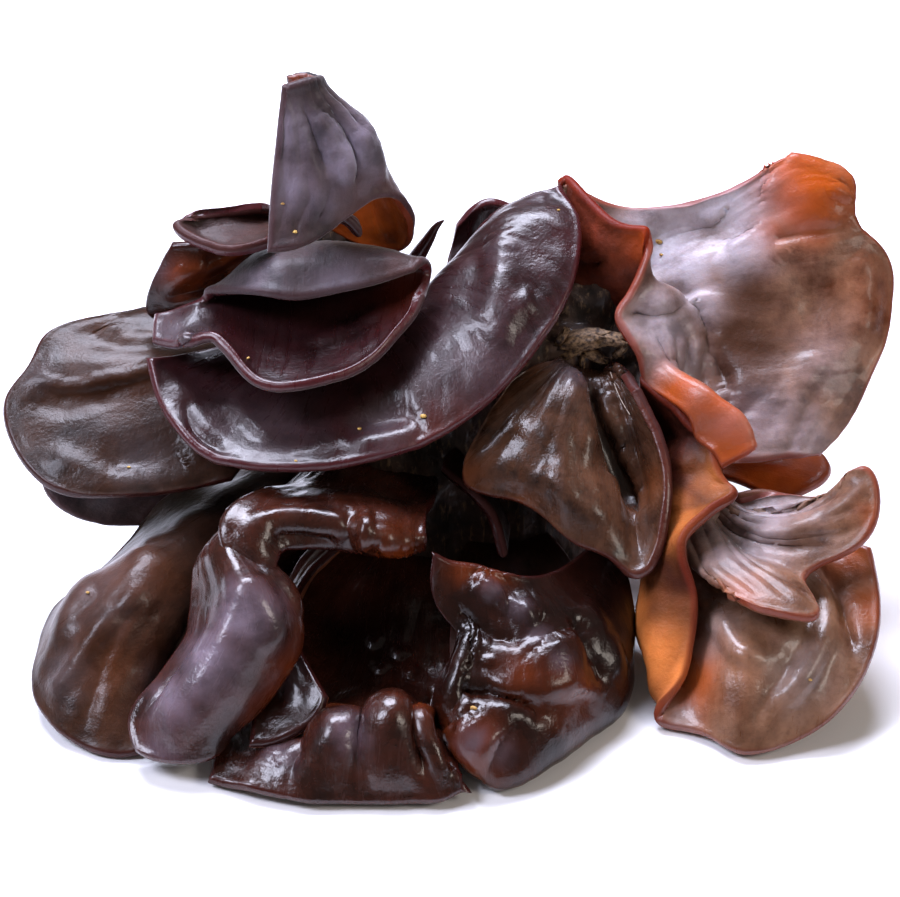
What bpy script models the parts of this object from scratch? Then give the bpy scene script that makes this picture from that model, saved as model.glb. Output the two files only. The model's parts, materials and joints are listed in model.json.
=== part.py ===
"""Wood ear mushroom: one cluster of thin jelly ears grown from a single holdfast.

The holdfast was cut off flat where it left the wood, and the cut is the face that the
cluster rests on. Each ear is a thin sheet lofted through spokes. A spoke is a short list of
points that runs from the root to the rim, in millimetres, and neighbouring spokes are joined
by smooth curves. +X is to the right, +Y to the back and +Z up.
"""

import bmesh
import bpy
import numpy as np

MM = 0.001

# Driving dimensions, in millimetres.
EAR_THICKNESS = 1.5
# Gap kept between an ear's root and the holdfast.
ROOT_GAP = 0.3
# Width of a root, as a share of its ear's first row, and the least it may be.
ROOT_SPREAD = 0.3
LEAST_ROOT_WIDTH = 7.0
# Lowest middle surface of an ear, so that its underside stays above the cut.
LEAST_HEIGHT = 0.85
WELD_DISTANCE = 0.05
# Middle of the flat cut, which is the frame's origin.
CUT_CENTRE = np.array((2.0, 12.0, 0.0))

# Cells from root to rim and from one side to the other, by size of ear.
LARGE = (8, 12)
MEDIUM = (6, 9)
SMALL = (5, 6)

# The holdfast is the union of two lumps. A ring is height, centre x, centre y, half width, half depth.
STUMP_RINGS = (
    (0, 2, 12, 25, 15),
    (6, 1, 11, 25, 14),
    (14, 1, 11, 25, 13),
    (22, 2, 12, 25, 12),
    (30, 3, 13, 25, 10),
    (37, 5, 14, 23, 8.5),
    (41, 8, 13, 20, 6.5),
    (44, 10, 12, 13, 4),
)
SHOULDER_RINGS = (
    (20, -14, 18, 9, 7),
    (34, -19, 21, 8, 6.5),
    (46, -22, 23, 6.5, 5.5),
    (54, -21, 24, 5, 4.2),
    (60, -20, 24.5, 3, 2.2),
)
RING_CORNERS = 20
# Depth of the bark's relief, its two waves round the lump, and its turn from ring to ring.
BARK_RELIEF = 0.8
RELIEF_WAVES = (3, 5)
RELIEF_TURN = 1.7

WET_FLESH_ROUGHNESS = 0.35
BARK_ROUGHNESS = 0.8
WET_BROWN = "4a302b"
DARK_BROWN = "33211f"
PURPLE_BROWN = "3d2729"
VELVET_GREY = "5b4b49"
MILKY_BROWN = "8d7a70"
TAN_BROWN = "86644f"
BARK_BROWN = "6b5140"

# name: (colour, cells, root point or None, spokes)
EARS = {
    "centre_shelf_ear": (PURPLE_BROWN, LARGE, (-4, 16, 38), (
        ((-28, 13, 42), (-40, 8, 43), (-50, 4, 44)),
        ((-26, 11, 42), (-38, 4, 41.5), (-47.5, -3.5, 40)),
        ((-23, 10, 42), (-33, -1, 39), (-41, -12, 37)),
        ((-20, 10, 42.5), (-26, -3, 39), (-32, -15.5, 36)),
        ((-16, 10, 43.5), (-19, -3, 41), (-22, -16.5, 36.3)),
        ((-12, 11, 44.5), (-10, -2, 43), (-10, -14.5, 37.3)),
        ((-8, 13, 46), (-2, 2, 46.5), (0, -10.5, 39.5)),
        ((-5, 15, 47.5), (4, 6, 51), (9, -5, 44.5)),
        ((-3, 17, 49), (8, 12, 55), (16.5, 2.5, 51)),
        ((-1, 19, 50), (10, 18, 58), (21, 12, 56)),
        ((1, 22, 50), (10, 23, 59.5), (21.5, 22, 60)),
        ((2, 25, 49), (10, 27.5, 57), (19, 27, 61.5)),
        ((1.5, 26.5, 46.5), (4, 28.3, 53), (11, 29.3, 58.3), (18.3, 28.5, 62.2)),
    )),
    "clam_ear": (PURPLE_BROWN, LARGE, None, (
        ((-6, 9, 57.5), (-4, 10.5, 57.5), (-3.5, 11, 56), (-4, 9, 55), (-5, 6.5, 55)),
        ((-12, 6, 57), (-10, 11, 59), (-8, 14, 56), (-8, 8, 52.5), (-8.5, -0.5, 52)),
        ((-18, 3.5, 57), (-17, 10, 60), (-15, 17, 56), (-15, 6, 50), (-16, -7.5, 49.3)),
        ((-25, 2, 56.5), (-25, 9, 60), (-24, 18, 56), (-24, 6, 49), (-26, -10, 48)),
        ((-31, 3.5, 56.5), (-31, 9, 59), (-32, 16, 55), (-32, 6, 49), (-33, -7, 48)),
        ((-38, 7.5, 54), (-37.5, 10.5, 53.8), (-37.5, 12.5, 52), (-37.5, 7.5, 50), (-38, -1, 51.5)),
        ((-42.5, 10, 51), (-42.3, 9.5, 50.6), (-42.2, 8, 50.2), (-42.2, 4.5, 49.7), (-42.5, 0, 49.3)),
        ((-49, 10, 48.3), (-49, 9, 48.2), (-49, 8, 48), (-49, 6, 47.5), (-49, 4, 47.3)),
    )),
    "horn_ear": (VELVET_GREY, MEDIUM, None, (
        ((-27, 18, 87.5), (-28, 14, 80), (-29, 9.5, 71.5), (-29.5, 5, 64)),
        ((-25, 18.7, 88), (-23.5, 14.5, 80), (-22.5, 10, 72), (-24, 6, 64.5)),
        ((-23, 20, 87.7), (-18.5, 16, 80), (-16, 12.5, 73), (-17, 12, 67)),
        ((-22, 21, 87), (-16.3, 19, 80), (-12.3, 17.5, 74), (-9, 15.5, 67.5)),
        ((-23, 22, 86.7), (-18.3, 22.3, 79), (-12.3, 20.8, 70), (-7, 19, 56)),
        ((-24, 22.5, 86.7), (-21, 24, 78), (-16.5, 23.5, 68), (-13, 21.5, 53.5)),
        ((-26, 21.5, 86.7), (-25.5, 23, 78), (-24, 22.5, 69), (-21, 22, 58)),
    )),
    "top_dish_ear": (WET_BROWN, MEDIUM, (-24, 23, 57), (
        ((-28, 22.5, 60.5), (-29.5, 20.5, 62.5), (-31, 18.5, 64)),
        ((-29, 21.8, 60.2), (-34.5, 18.5, 62.7), (-41, 16, 64.5)),
        ((-29.5, 20.4, 60), (-36.5, 15.5, 61.8), (-45.5, 13, 63.5)),
        ((-29.3, 18.8, 60), (-34, 13, 61.5), (-41, 9, 62.7)),
        ((-28.4, 17.4, 60), (-30.6, 12.3, 61.7), (-34.5, 7.5, 62.5)),
        ((-27, 16.6, 60), (-28, 12.8, 61.8), (-29.3, 9.5, 62.5)),
    )),
    "dark_curl_ear": (DARK_BROWN, MEDIUM, (-24, 22, 46), (
        ((-31, 24, 55), (-37, 20, 57), (-42, 17.5, 58), (-46, 18, 57.5)),
        ((-31, 23, 52), (-38, 19, 53), (-44, 15.5, 53), (-49, 17, 52)),
        ((-31, 22, 48), (-38, 18, 48), (-45, 14.5, 48), (-51, 16, 46)),
        ((-31, 21, 45), (-38, 18.5, 45), (-45, 16, 44.5), (-50, 16, 43.5)),
    )),
    "hood_curl_ear": (VELVET_GREY, SMALL, None, (
        ((-20.5, 18.5, 61.5), (-21, 15.5, 64), (-20.5, 13, 65.5)),
        ((-18.5, 18, 61.7), (-18, 15.5, 64.2), (-17.2, 13, 64.5)),
        ((-16.5, 17.5, 61.3), (-15.5, 15, 62.5), (-14.7, 12.5, 62)),
    )),
    "back_round_ear": (PURPLE_BROWN, SMALL, (4, 20, 36), (
        ((-1, 26, 43), (0, 31, 47), (1, 32, 51.5)),
        ((1, 26, 43), (3, 31.5, 49), (4, 32.5, 55)),
        ((4, 26, 43), (6, 32, 50), (7.5, 33, 56)),
        ((7, 26, 43), (9, 32, 49), (11, 33, 54.5)),
    )),
    "left_dish_ear": (WET_BROWN, LARGE, (-18, 14, 34), (
        ((-28, 19, 38.5), (-40, 21, 40), (-52, 23, 40.5)),
        ((-28.3, 17.5, 38.2), (-44, 18, 39.5), (-58.5, 20, 41)),
        ((-28.5, 16, 38), (-48, 14, 38.5), (-68, 17, 40)),
        ((-28.5, 14, 38), (-50, 10, 38.5), (-71, 11, 37.5)),
        ((-28.5, 12, 37.5), (-50, 7, 36), (-74.5, 6, 34)),
        ((-28, 10, 37), (-49, 3, 34), (-72.5, -2, 30)),
        ((-27.5, 8.5, 36.5), (-46, -1, 32), (-65.5, -9.5, 27)),
        ((-27, 7.5, 36), (-42, -2, 31.5), (-56.5, -10.5, 26)),
        ((-25.5, 6.5, 35.5), (-36, -1, 32), (-46, -9.3, 26.2)),
        ((-24, 6, 35), (-30, 0, 32), (-36, -7, 27)),
    )),
    "left_under_ear": (VELVET_GREY, MEDIUM, (-16, 12, 28), (
        ((-28, 14, 32), (-46, 10, 30), (-58, 7, 28), (-66, 4, 26)),
        ((-28, 12, 31.5), (-48, 5, 29), (-61, 1, 27), (-68, -2, 22.5)),
        ((-28, 10, 31), (-47, 1, 28), (-59, -3, 25), (-64.5, -5.5, 19.5)),
        ((-27.5, 8.5, 30.5), (-45, -1, 26), (-54, -5, 22.5), (-58.5, -5.5, 17)),
        ((-27, 7.5, 30), (-42, -1, 24), (-49, -3, 20), (-52, -4, 15.5)),
    )),
    "lower_left_ear": (WET_BROWN, LARGE, (-14, 9, 15), (
        ((-26, 12, 16), (-38, 9, 16), (-50, 3, 14)),
        ((-26, 10, 16.5), (-39, 2, 18), (-56, -8, 11)),
        ((-26, 8, 17), (-43, -6, 19), (-64, -16, 8)),
        ((-26, 6.5, 17), (-43, -10, 19.5), (-60, -22, 14.5), (-67.5, -25, 6)),
        ((-26, 5, 17), (-42, -13, 19), (-57, -30, 14.5), (-67.5, -35, 3)),
        ((-25, 3.5, 16.5), (-39, -15, 17), (-53, -35, 10), (-59, -44.5, 1.2)),
        ((-24, 2, 16), (-36, -16, 14.5), (-46, -32, 7.5), (-51, -46, 1.2)),
        ((-22, 0.5, 15), (-33, -15, 12), (-42, -30, 5.5), (-46, -44, 1.4)),
    )),
    "rolled_tongue_ear": (WET_BROWN, (10, 15), (-8, 12, 21), (
        ((-2, 0, 21), (-3, -10, 24), (-4, -18, 26.5), (-4, -21.5, 26), (-4, -21, 24)),
        ((-7, 1, 21.5), (-8.5, -12, 25.5), (-9, -20, 29), (-10, -24.5, 28), (-9, -23, 24.5)),
        ((-12, 2, 22), (-15, -11, 27), (-16.5, -20, 30.5), (-17, -24, 29), (-16, -23.5, 25)),
        ((-16, 3, 23), (-22, -11, 27.5), (-26, -19, 31), (-27, -23.5, 30), (-26, -24, 26)),
        ((-19, 3, 23.5), (-28, -12, 28), (-34, -20, 31), (-36.5, -25.5, 29.5), (-32, -29, 27),
         (-29, -32, 23)),
        ((-20.3, 2.6, 23), (-28, -14, 26), (-34, -24, 28), (-30, -30, 26), (-24.5, -35, 19.5),
         (-28.5, -41.5, 10.5), (-36, -47, 6)),
        ((-21.4, 2.6, 22.6), (-29, -14, 27), (-36, -26, 28.5), (-32.5, -36, 26), (-35, -43, 19),
         (-39.5, -48.5, 11), (-40, -51, 4)),
        ((-22.4, 2.9, 22), (-31, -14, 26), (-39, -25, 26), (-37.5, -33, 23.5), (-42, -41, 16),
         (-46.5, -47, 8.5), (-46, -51, 4)),
        ((-23.4, 3.3, 21.3), (-33, -14, 24), (-41, -25, 22), (-42, -33, 16), (-47, -39, 10.5),
         (-51.5, -43.5, 6.3), (-50, -48.5, 4)),
    )),
    "front_lip_ear": (WET_BROWN, LARGE, (-6, 7, 6), (
        ((-24, 1, 7.5), (-36, -10, 8), (-39, -28, 3), (-37.5, -46, 2), (-38.5, -52.5, 1)),
        ((-16, -4, 6), (-24, -22, 2.5), (-28, -42, 2.5), (-28, -52, 3.5), (-29, -55.5, 1)),
        ((-12, -4.5, 7), (-16, -24, 2), (-20, -42, 5), (-20, -49.5, 9.5), (-21, -54.5, 6),
         (-21, -57, 1)),
        ((-8, -5, 7), (-10, -24, 2), (-13, -41, 7), (-13, -47, 12), (-14, -54, 8), (-14, -57.5, 1)),
        ((-4, -5, 6.5), (-5, -24, 1.7), (-7, -41, 6), (-7.5, -47.5, 12), (-8, -54.5, 8),
         (-8, -57.5, 1)),
        ((0, -5, 5.5), (2, -24, 1.2), (0, -39, 1.8), (-3.5, -47.5, 9), (-0.5, -54, 6),
         (3, -57.5, 1)),
        ((2, -5, 5), (5, -24, 1), (3.5, -40, 1), (1, -51, 3.8), (4, -56, 3.2), (7, -58, 1)),
    )),
    "small_folded_ear": (WET_BROWN, MEDIUM, (-8, 8, 11), (
        ((-17, -3, 11), (-25.5, -20, 11), (-23, -36, 12.5), (-19.5, -43, 11)),
        ((-18.5, -2, 10.5), (-27, -21, 10), (-26, -37, 11), (-22, -47, 8.5)),
        ((-20, -1, 10), (-28.5, -22, 8.8), (-29, -38, 9), (-28, -49, 6.5)),
        ((-21.5, 0, 9.5), (-30, -23, 7.8), (-31.5, -38, 7.5), (-32, -49, 6)),
    )),
    "front_right_ear": (WET_BROWN, (9, 14), (10, 6, 8), (
        ((2, -4, 9), (0, -24, 5), (-1, -38, 5.5), (-2, -41, 10), (-2.5, -34, 17), (-3, -28, 22.5),
         (-4, -26.5, 26.5)),
        ((3.5, -4, 9), (3, -25, 4.8), (1.5, -42, 5), (0.5, -48.5, 7), (0.5, -45, 13),
         (0.5, -34, 18.5), (0, -26.5, 25.5)),
        ((5, -4, 9), (7, -26, 4.2), (6, -45, 3.2), (5, -53, 3), (4.3, -51, 8), (4, -45, 13),
         (4, -34, 19), (4, -26.5, 25)),
        ((7, -4, 9), (10, -25, 3.6), (9.5, -45, 2), (8.5, -54, 2), (8, -50.5, 9), (8.5, -42, 15.5),
         (7.5, -32, 20), (6, -26.8, 24.5)),
        ((9, -4, 9), (13, -24, 3), (13, -42, 1.6), (14, -51, 2.6), (13.5, -47.5, 10.5), (13, -38, 17),
         (11, -31, 20.5), (8, -27, 24)),
        ((13, -4, 9), (19, -20, 2.5), (20, -35, 1.2), (22, -43, 2.2), (21.5, -40, 10.5), (18.5, -34, 17),
         (15, -30, 20), (13, -26, 22)),
        ((16, -3, 9), (23, -16, 2), (26, -28, 1.2), (28.5, -35, 2.4), (27.5, -32, 10), (24, -27, 15),
         (20.5, -24, 17.5), (18, -20.5, 19)),
        ((18.5, -2, 9), (25, -12, 3), (28, -19, 3.5), (29.3, -23.5, 6.5), (29.3, -19, 12.5), (28, -15, 15.5),
         (26.5, -13, 17), (24.5, -11, 18)),
    )),
    "inner_strip_ear": (DARK_BROWN, SMALL, (5, 9, 22), (
        ((0, 2, 26), (-1, -0.5, 26.5), (-1.5, -3.5, 26.2)),
        ((3, 1, 24), (3.5, -4, 25), (3.5, -9, 24.5)),
        ((6, 0, 20), (7, -5, 21.5), (7, -11, 21)),
        ((8, 0, 15), (9, -7, 15.5), (8.6, -14, 16)),
    )),
    "centre_right_ear": (TAN_BROWN, LARGE, (21, 12, 35), (
        ((17, 5.5, 42), (13, 3, 42.5), (10, 0.5, 42)),
        ((18, 5, 41.7), (11.5, -2, 40.5), (5, -5, 36)),
        ((19, 4.8, 41.3), (12, -5, 38.5), (2.5, -10, 28)),
        ((20, 4.6, 41), (15, -8, 38), (12.5, -12, 32.5), (12, -14, 27)),
        ((22, 4.4, 40.5), (20, -9, 36.5), (20, -16, 31), (20, -20, 24)),
        ((24, 4.2, 40), (25, -8, 33.5), (26, -16, 28), (26, -22.5, 22.5)),
        ((26, 4, 39.5), (28, -5, 33), (30, -15, 24), (31, -24.5, 21)),
        ((27, 4, 39.5), (30, -4, 34), (32, -9.5, 29.5), (35.5, -16.5, 29.5)),
        ((28, 3.8, 40), (30, -1, 38), (32, -4, 36.5), (33.8, -7, 37)),
        ((28, 3.5, 41), (29.5, 0, 41), (30, -1.5, 41)),
    )),
    "right_top_ear": (MILKY_BROWN, (9, 13), None, (
        ((18.5, 30.5, 61), (21, 30, 60.5), (26, 29, 58.5), (34, 28, 58), (43, 27.5, 60),
         (51, 29, 63.5), (57, 31, 66), (62.5, 30, 64.5)),
        ((21, 30, 62), (18.5, 25.5, 55), (21, 20, 48), (31, 25, 50), (43, 26, 56), (52, 27, 60.5),
         (59, 28.5, 64), (66, 27.5, 62.5)),
        ((28, 20.5, 60), (24, 19, 53), (25, 18.5, 47), (34, 22, 48.5), (45, 23, 54.5),
         (54, 24, 58), (61, 25, 60.5), (67.5, 25, 58.5)),
        ((33, 18, 60), (30, 16, 53), (31, 16.5, 47.5), (38, 19, 49), (47, 19.5, 53), (55, 20, 55),
         (63, 20.5, 55.5), (70, 23, 56)),
        ((30, 11, 53), (35, 12.5, 50), (39, 14.5, 49), (46, 15, 48), (54, 14.5, 48.5),
         (62, 15.5, 50), (69, 18, 51), (74.5, 20.5, 50)),
        ((28, 6.5, 48), (34, 7.5, 45), (40, 9.5, 43), (47, 8.5, 42), (54, 7.5, 42), (61, 8, 43),
         (67, 9.5, 43.5), (73, 12, 42)),
        ((37.5, -4, 40.3), (41, -3.5, 43), (39.2, 1.8, 38.5), (41.5, 4.5, 36.5), (47, 4, 38), (54, 3, 38.5),
         (60, 3.5, 39.5), (66, 5, 39), (70, 6, 38)),
        ((43, -10.5, 37.8), (47.5, -9, 41), (43.8, -4, 36.5), (42.5, 0, 33), (47, 0.5, 33.5), (53, -1, 34),
         (58, -1, 34.5), (63, -0.5, 34), (66.5, 1, 33)),
        ((46.8, -14.5, 35), (50, -12.5, 37), (47.5, -9, 33), (48, -5.5, 29.5), (51, -5.5, 29.5), (54.5, -5, 29.8),
         (58, -5, 30), (60, -4.5, 30), (61.5, -4, 30)),
    )),
    "small_dome_ear": (TAN_BROWN, SMALL, (20, 13, 22), (
        ((34, 12, 20), (46, 10, 22), (60, 8, 24)),
        ((35, 10, 19), (48, 5, 23.5), (64, 1, 23)),
        ((35, 8, 18.7), (48, 2, 23), (61, -3.5, 22.5)),
        ((36, 6.5, 18.5), (46, 0.5, 21.5), (55, -5.5, 21)),
    )),
    "long_flap_ear": (TAN_BROWN, (9, 17), (17, 9, 17), (
        ((31, 5, 23), (32.5, 3.5, 33), (32, 3.5, 41)),
        ((31.2, 4.6, 22.2), (35, 1, 32), (35.5, -0.3, 40)),
        ((31.4, 4.2, 21.4), (36.5, -1, 30), (41, -5.5, 37)),
        ((31.45, 4, 21), (36.5, -3.5, 28), (38.5, -6, 32), (43.5, -8, 35)),
        ((31.5, 3.8, 20.6), (35, -6, 25), (38, -9.5, 29.5), (45, -12.5, 31.5)),
        ((31.6, 3.4, 19.8), (33, -8, 21), (36, -13, 26), (46.5, -16.5, 30.5)),
        ((31.7, 3, 19), (32.5, -12, 17), (35, -17, 22), (39, -21, 27)),
        ((31.8, 2.6, 18.2), (32, -18, 12), (33, -23, 16), (40, -26, 19)),
        ((32, 2.2, 17.4), (32, -26, 7), (33, -30, 9.5), (39.5, -31.5, 12)),
        ((32.2, 1.9, 16.6), (36, -28, 4), (33.5, -34.5, 4), (37, -36, 6)),
        ((32.4, 1.6, 15.8), (38, -25, 6), (36, -35, 3), (33.5, -38.5, 2)),
        ((32.6, 1.3, 15), (41, -22, 11), (42, -34, 8), (40, -41, 1.2)),
        ((32.8, 1, 14.2), (46, -20, 16), (48, -36, 12), (47, -46, 1.2)),
        ((33, 0.8, 13.4), (52, -18, 17), (57, -35, 12), (57, -44, 3)),
        ((33.2, 0.6, 12.6), (55, -15, 16.5), (63, -29, 13.5), (65, -39, 8)),
        ((33.4, 0.4, 11.8), (57, -12, 16), (66, -24, 15), (70, -28, 14)),
        ((33.6, 0.2, 11), (56, -7, 16), (64, -12, 19), (69, -16, 20)),
    )),
    "right_shelf_ear": (MILKY_BROWN, LARGE, (20, 11, 28), (
        ((34.5, 9.6, 25), (42, -4, 22), (48, -9.5, 24.5)),
        ((34.9, 8.8, 24.8), (45, -8, 22), (57, -10.5, 26.5)),
        ((35.3, 8, 24.5), (48, -10, 22.5), (63, -12.5, 28)),
        ((35.6, 7.3, 24.3), (50, -12, 23), (60, -14, 26), (66.5, -12, 33.5)),
        ((36, 6.6, 24), (50, -14, 23), (62, -17, 27.5), (69.5, -14.5, 32.5)),
        ((36.4, 5.9, 23.7), (50, -16, 22.5), (61, -19, 24), (68, -21, 26)),
        ((36.8, 5.2, 23.4), (48, -18, 21.5), (54, -22, 21), (58, -24, 20)),
        ((37.2, 4.4, 23.1), (47, -21, 22), (54, -29, 21.5), (59, -34, 20)),
        ((37.6, 3.7, 22.8), (44, -22, 22), (48, -29, 21.5), (51.5, -34, 21)),
        ((37.9, 3, 22.5), (40, -20, 20.5), (45, -29, 21)),
        ((38.2, 2.2, 22.2), (38.5, -16, 19.5), (42, -21, 19.5)),
    )),
    "back_left_ear": (WET_BROWN, MEDIUM, (-8, 17, 24), (
        ((-25, 29, 30), (-38, 32, 35), (-48, 32, 38)),
        ((-20, 31, 30), (-32, 38, 34), (-42, 42, 37)),
        ((-15, 31, 30.5), (-22, 41, 33), (-30, 47, 34)),
        ((-10, 31, 30), (-13, 41, 31), (-18, 47, 31)),
        ((-5, 31, 29), (-5, 38, 29), (-7, 43, 28)),
    )),
    "back_right_ear": (TAN_BROWN, MEDIUM, (14, 18, 24), (
        ((12, 30, 25), (10, 38, 26), (8, 44, 25)),
        ((16, 30, 26), (18, 40, 28), (19, 48, 28)),
        ((20, 29, 27), (27, 39, 30), (32, 47, 31)),
        ((24, 27, 27.5), (35, 34, 32), (45, 40, 34)),
        ((27, 24, 27.5), (41, 27, 32), (54, 29, 35)),
        ((29, 21, 27), (43, 19, 30), (55, 18, 32)),
    )),
    "back_low_ear": (PURPLE_BROWN, MEDIUM, (0, 18, 10), (
        ((-22, 24, 12), (-32, 27, 11), (-42, 26, 5)),
        ((-16, 28, 13), (-25, 36, 12), (-34, 41, 4)),
        ((-7, 30, 13.5), (-11, 41, 12), (-16, 49, 3)),
        ((3, 30, 13.5), (3, 42, 12), (3, 50, 3)),
        ((12, 29, 13), (17, 39, 12), (22, 46, 4)),
        ((20, 26, 12), (29, 32, 11), (38, 36, 5)),
    )),
}


def linear_colour(code):
    channels = [int(code[i:i + 2], 16) / 255 for i in (0, 2, 4)]
    linear = [c / 12.92 if c <= 0.04045 else ((c + 0.055) / 1.055) ** 2.4 for c in channels]
    return (*linear, 1.0)


def make_material(name, code, roughness):
    material = bpy.data.materials.new(name)
    material.use_nodes = True
    shader = material.node_tree.nodes["Principled BSDF"]
    shader.inputs["Base Color"].default_value = linear_colour(code)
    shader.inputs["Roughness"].default_value = roughness
    shader.inputs["Metallic"].default_value = 0.0
    return material


def smooth_curve(points, stations, count):
    """The natural cubic curve through points at stations 0..1, sampled at count + 1 even places."""
    points = np.asarray(points, float)
    if len(points) == 2:
        share = np.linspace(0, 1, count + 1)[:, None]
        return points[0] * (1 - share) + points[1] * share
    step = np.diff(stations)
    last = len(points) - 1
    system = np.eye(last + 1)
    bend = np.zeros_like(points)
    for i in range(1, last):
        system[i, i - 1:i + 2] = (step[i - 1], 2 * (step[i - 1] + step[i]), step[i])
        bend[i] = 6 * ((points[i + 1] - points[i]) / step[i] - (points[i] - points[i - 1]) / step[i - 1])
    curvature = np.linalg.solve(system, bend)
    curve = []
    for place in np.linspace(0, 1, count + 1):
        i = min(int(np.searchsorted(stations, place, side="right")) - 1, last - 1)
        a = (stations[i + 1] - place) / step[i]
        b = 1 - a
        curve.append(a * points[i] + b * points[i + 1]
                     + ((a ** 3 - a) * curvature[i] + (b ** 3 - b) * curvature[i + 1]) * step[i] ** 2 / 6)
    return np.array(curve)


def spread_along(lengths):
    stations = np.concatenate(([0.0], np.cumsum(lengths)))
    return stations / stations[-1]


def ear_grid(root, spokes, cells):
    """The middle surface of an ear: rows from root to rim, columns from the first spoke to the last."""
    rows, columns = cells
    spokes = [np.array(spoke, float) for spoke in spokes]
    if root is not None:
        starts = np.array([spoke[0] for spoke in spokes])
        width = np.linalg.norm(starts[-1] - starts[0])
        spread = max(ROOT_SPREAD, LEAST_ROOT_WIDTH / width)
        stalk = np.array(root, float) + spread * (starts - starts.mean(axis=0))
        spokes = [np.vstack((start, spoke)) for start, spoke in zip(stalk, spokes)]
    along = []
    for spoke in spokes:
        lengths = np.linalg.norm(np.diff(spoke, axis=0), axis=1)
        along.append(smooth_curve(spoke, spread_along(lengths), rows))
    along = np.array(along)
    widths = np.linalg.norm(np.diff(along, axis=0), axis=2).mean(axis=1)
    stations = spread_along(np.sqrt(widths))
    grid = np.array([smooth_curve(along[:, row], stations, columns) for row in range(rows + 1)])
    grid[..., 2] = np.maximum(grid[..., 2], LEAST_HEIGHT)
    return grid


def add_object(name, points, faces):
    mesh = bpy.data.meshes.new(name)
    mesh.from_pydata([tuple(point) for point in points], [], faces)
    built = bpy.data.objects.new(name, mesh)
    bpy.context.collection.objects.link(built)
    return built


def world(points):
    return (np.asarray(points, float) - CUT_CENTRE) * MM


def make_ear(name, colour, cells, root, spokes, clearance):
    grid = ear_grid(root, spokes, cells)
    height, width = grid.shape[:2]
    faces = []
    for row in range(height - 1):
        for column in range(width - 1):
            corner = row * width + column
            faces.append((corner, corner + 1, corner + width + 1, corner + width))
    ear = add_object(name, world(grid.reshape(-1, 3)), faces)
    ear.data.shade_smooth()
    flesh = ear.modifiers.new("flesh", "SOLIDIFY")
    flesh.thickness = EAR_THICKNESS * MM
    flesh.offset = 0.0
    flesh.use_rim = True
    seat = ear.modifiers.new("seat on the holdfast", "BOOLEAN")
    seat.operation = "DIFFERENCE"
    seat.object = clearance
    seat.solver = "MANIFOLD"
    weld = ear.modifiers.new("weld", "WELD")
    weld.merge_threshold = WELD_DISTANCE * MM
    ear.data.materials.append(make_material(name, colour, WET_FLESH_ROUGHNESS))
    return ear


def make_lump(name, rings, grow):
    """A closed lump through rings, with a shallow bark relief and a flat cut at its first ring."""
    points = []
    for level, (z, x, y, half_x, half_y) in enumerate(rings):
        for corner in range(RING_CORNERS):
            turn = 2 * np.pi * corner / RING_CORNERS
            swell = np.sin(RELIEF_WAVES[0] * turn + RELIEF_TURN * level)
            relief = BARK_RELIEF * swell * np.cos(RELIEF_WAVES[1] * turn - level)
            points.append((
                x + (half_x + relief + grow) * np.cos(turn),
                y + (half_y + relief + grow) * np.sin(turn),
                z + (grow if level == len(rings) - 1 else 0),
            ))
    faces = [tuple(reversed(range(RING_CORNERS)))]
    for level in range(len(rings) - 1):
        for corner in range(RING_CORNERS):
            following = (corner + 1) % RING_CORNERS
            low = level * RING_CORNERS
            high = low + RING_CORNERS
            faces.append((low + corner, low + following, high + following))
            faces.append((low + corner, high + following, high + corner))
    faces.append(tuple(range(len(points) - RING_CORNERS, len(points))))
    return add_object(name, world(points), faces)


def make_holdfast(name, grow):
    stump = make_lump(name, STUMP_RINGS, grow)
    shoulder = make_lump(name + "_shoulder", SHOULDER_RINGS, grow)
    shoulder.hide_render = True
    shoulder.display_type = "WIRE"
    joined = stump.modifiers.new("shoulder", "BOOLEAN")
    joined.operation = "UNION"
    joined.object = shoulder
    return stump


def main():
    for old in list(bpy.data.objects):
        bpy.data.objects.remove(old)
    base = make_holdfast("holdfast", 0.0)
    base.data.materials.append(make_material("holdfast", BARK_BROWN, BARK_ROUGHNESS))
    clearance = make_holdfast("holdfast_clearance", ROOT_GAP)
    clearance.hide_render = True
    clearance.display_type = "WIRE"
    for name, (colour, cells, root, spokes) in EARS.items():
        make_ear(name, colour, cells, root, spokes, clearance)


main()
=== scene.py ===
"""Wood ear mushroom: a wet cluster of thin jelly ears on one holdfast.

Every ear is a thin sheet lofted through spokes, which are short lists of points in millimetres from
the root to the rim. The sheet is a fine grid, shaped by its spokes, its folds and its ripples, and
then given its flesh with a rounded, beaded rim.
"""

import json
from collections import namedtuple

import bmesh
import bpy
import numpy as np
from bpy.props import FloatProperty, FloatVectorProperty, PointerProperty
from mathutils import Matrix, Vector, noise

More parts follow.
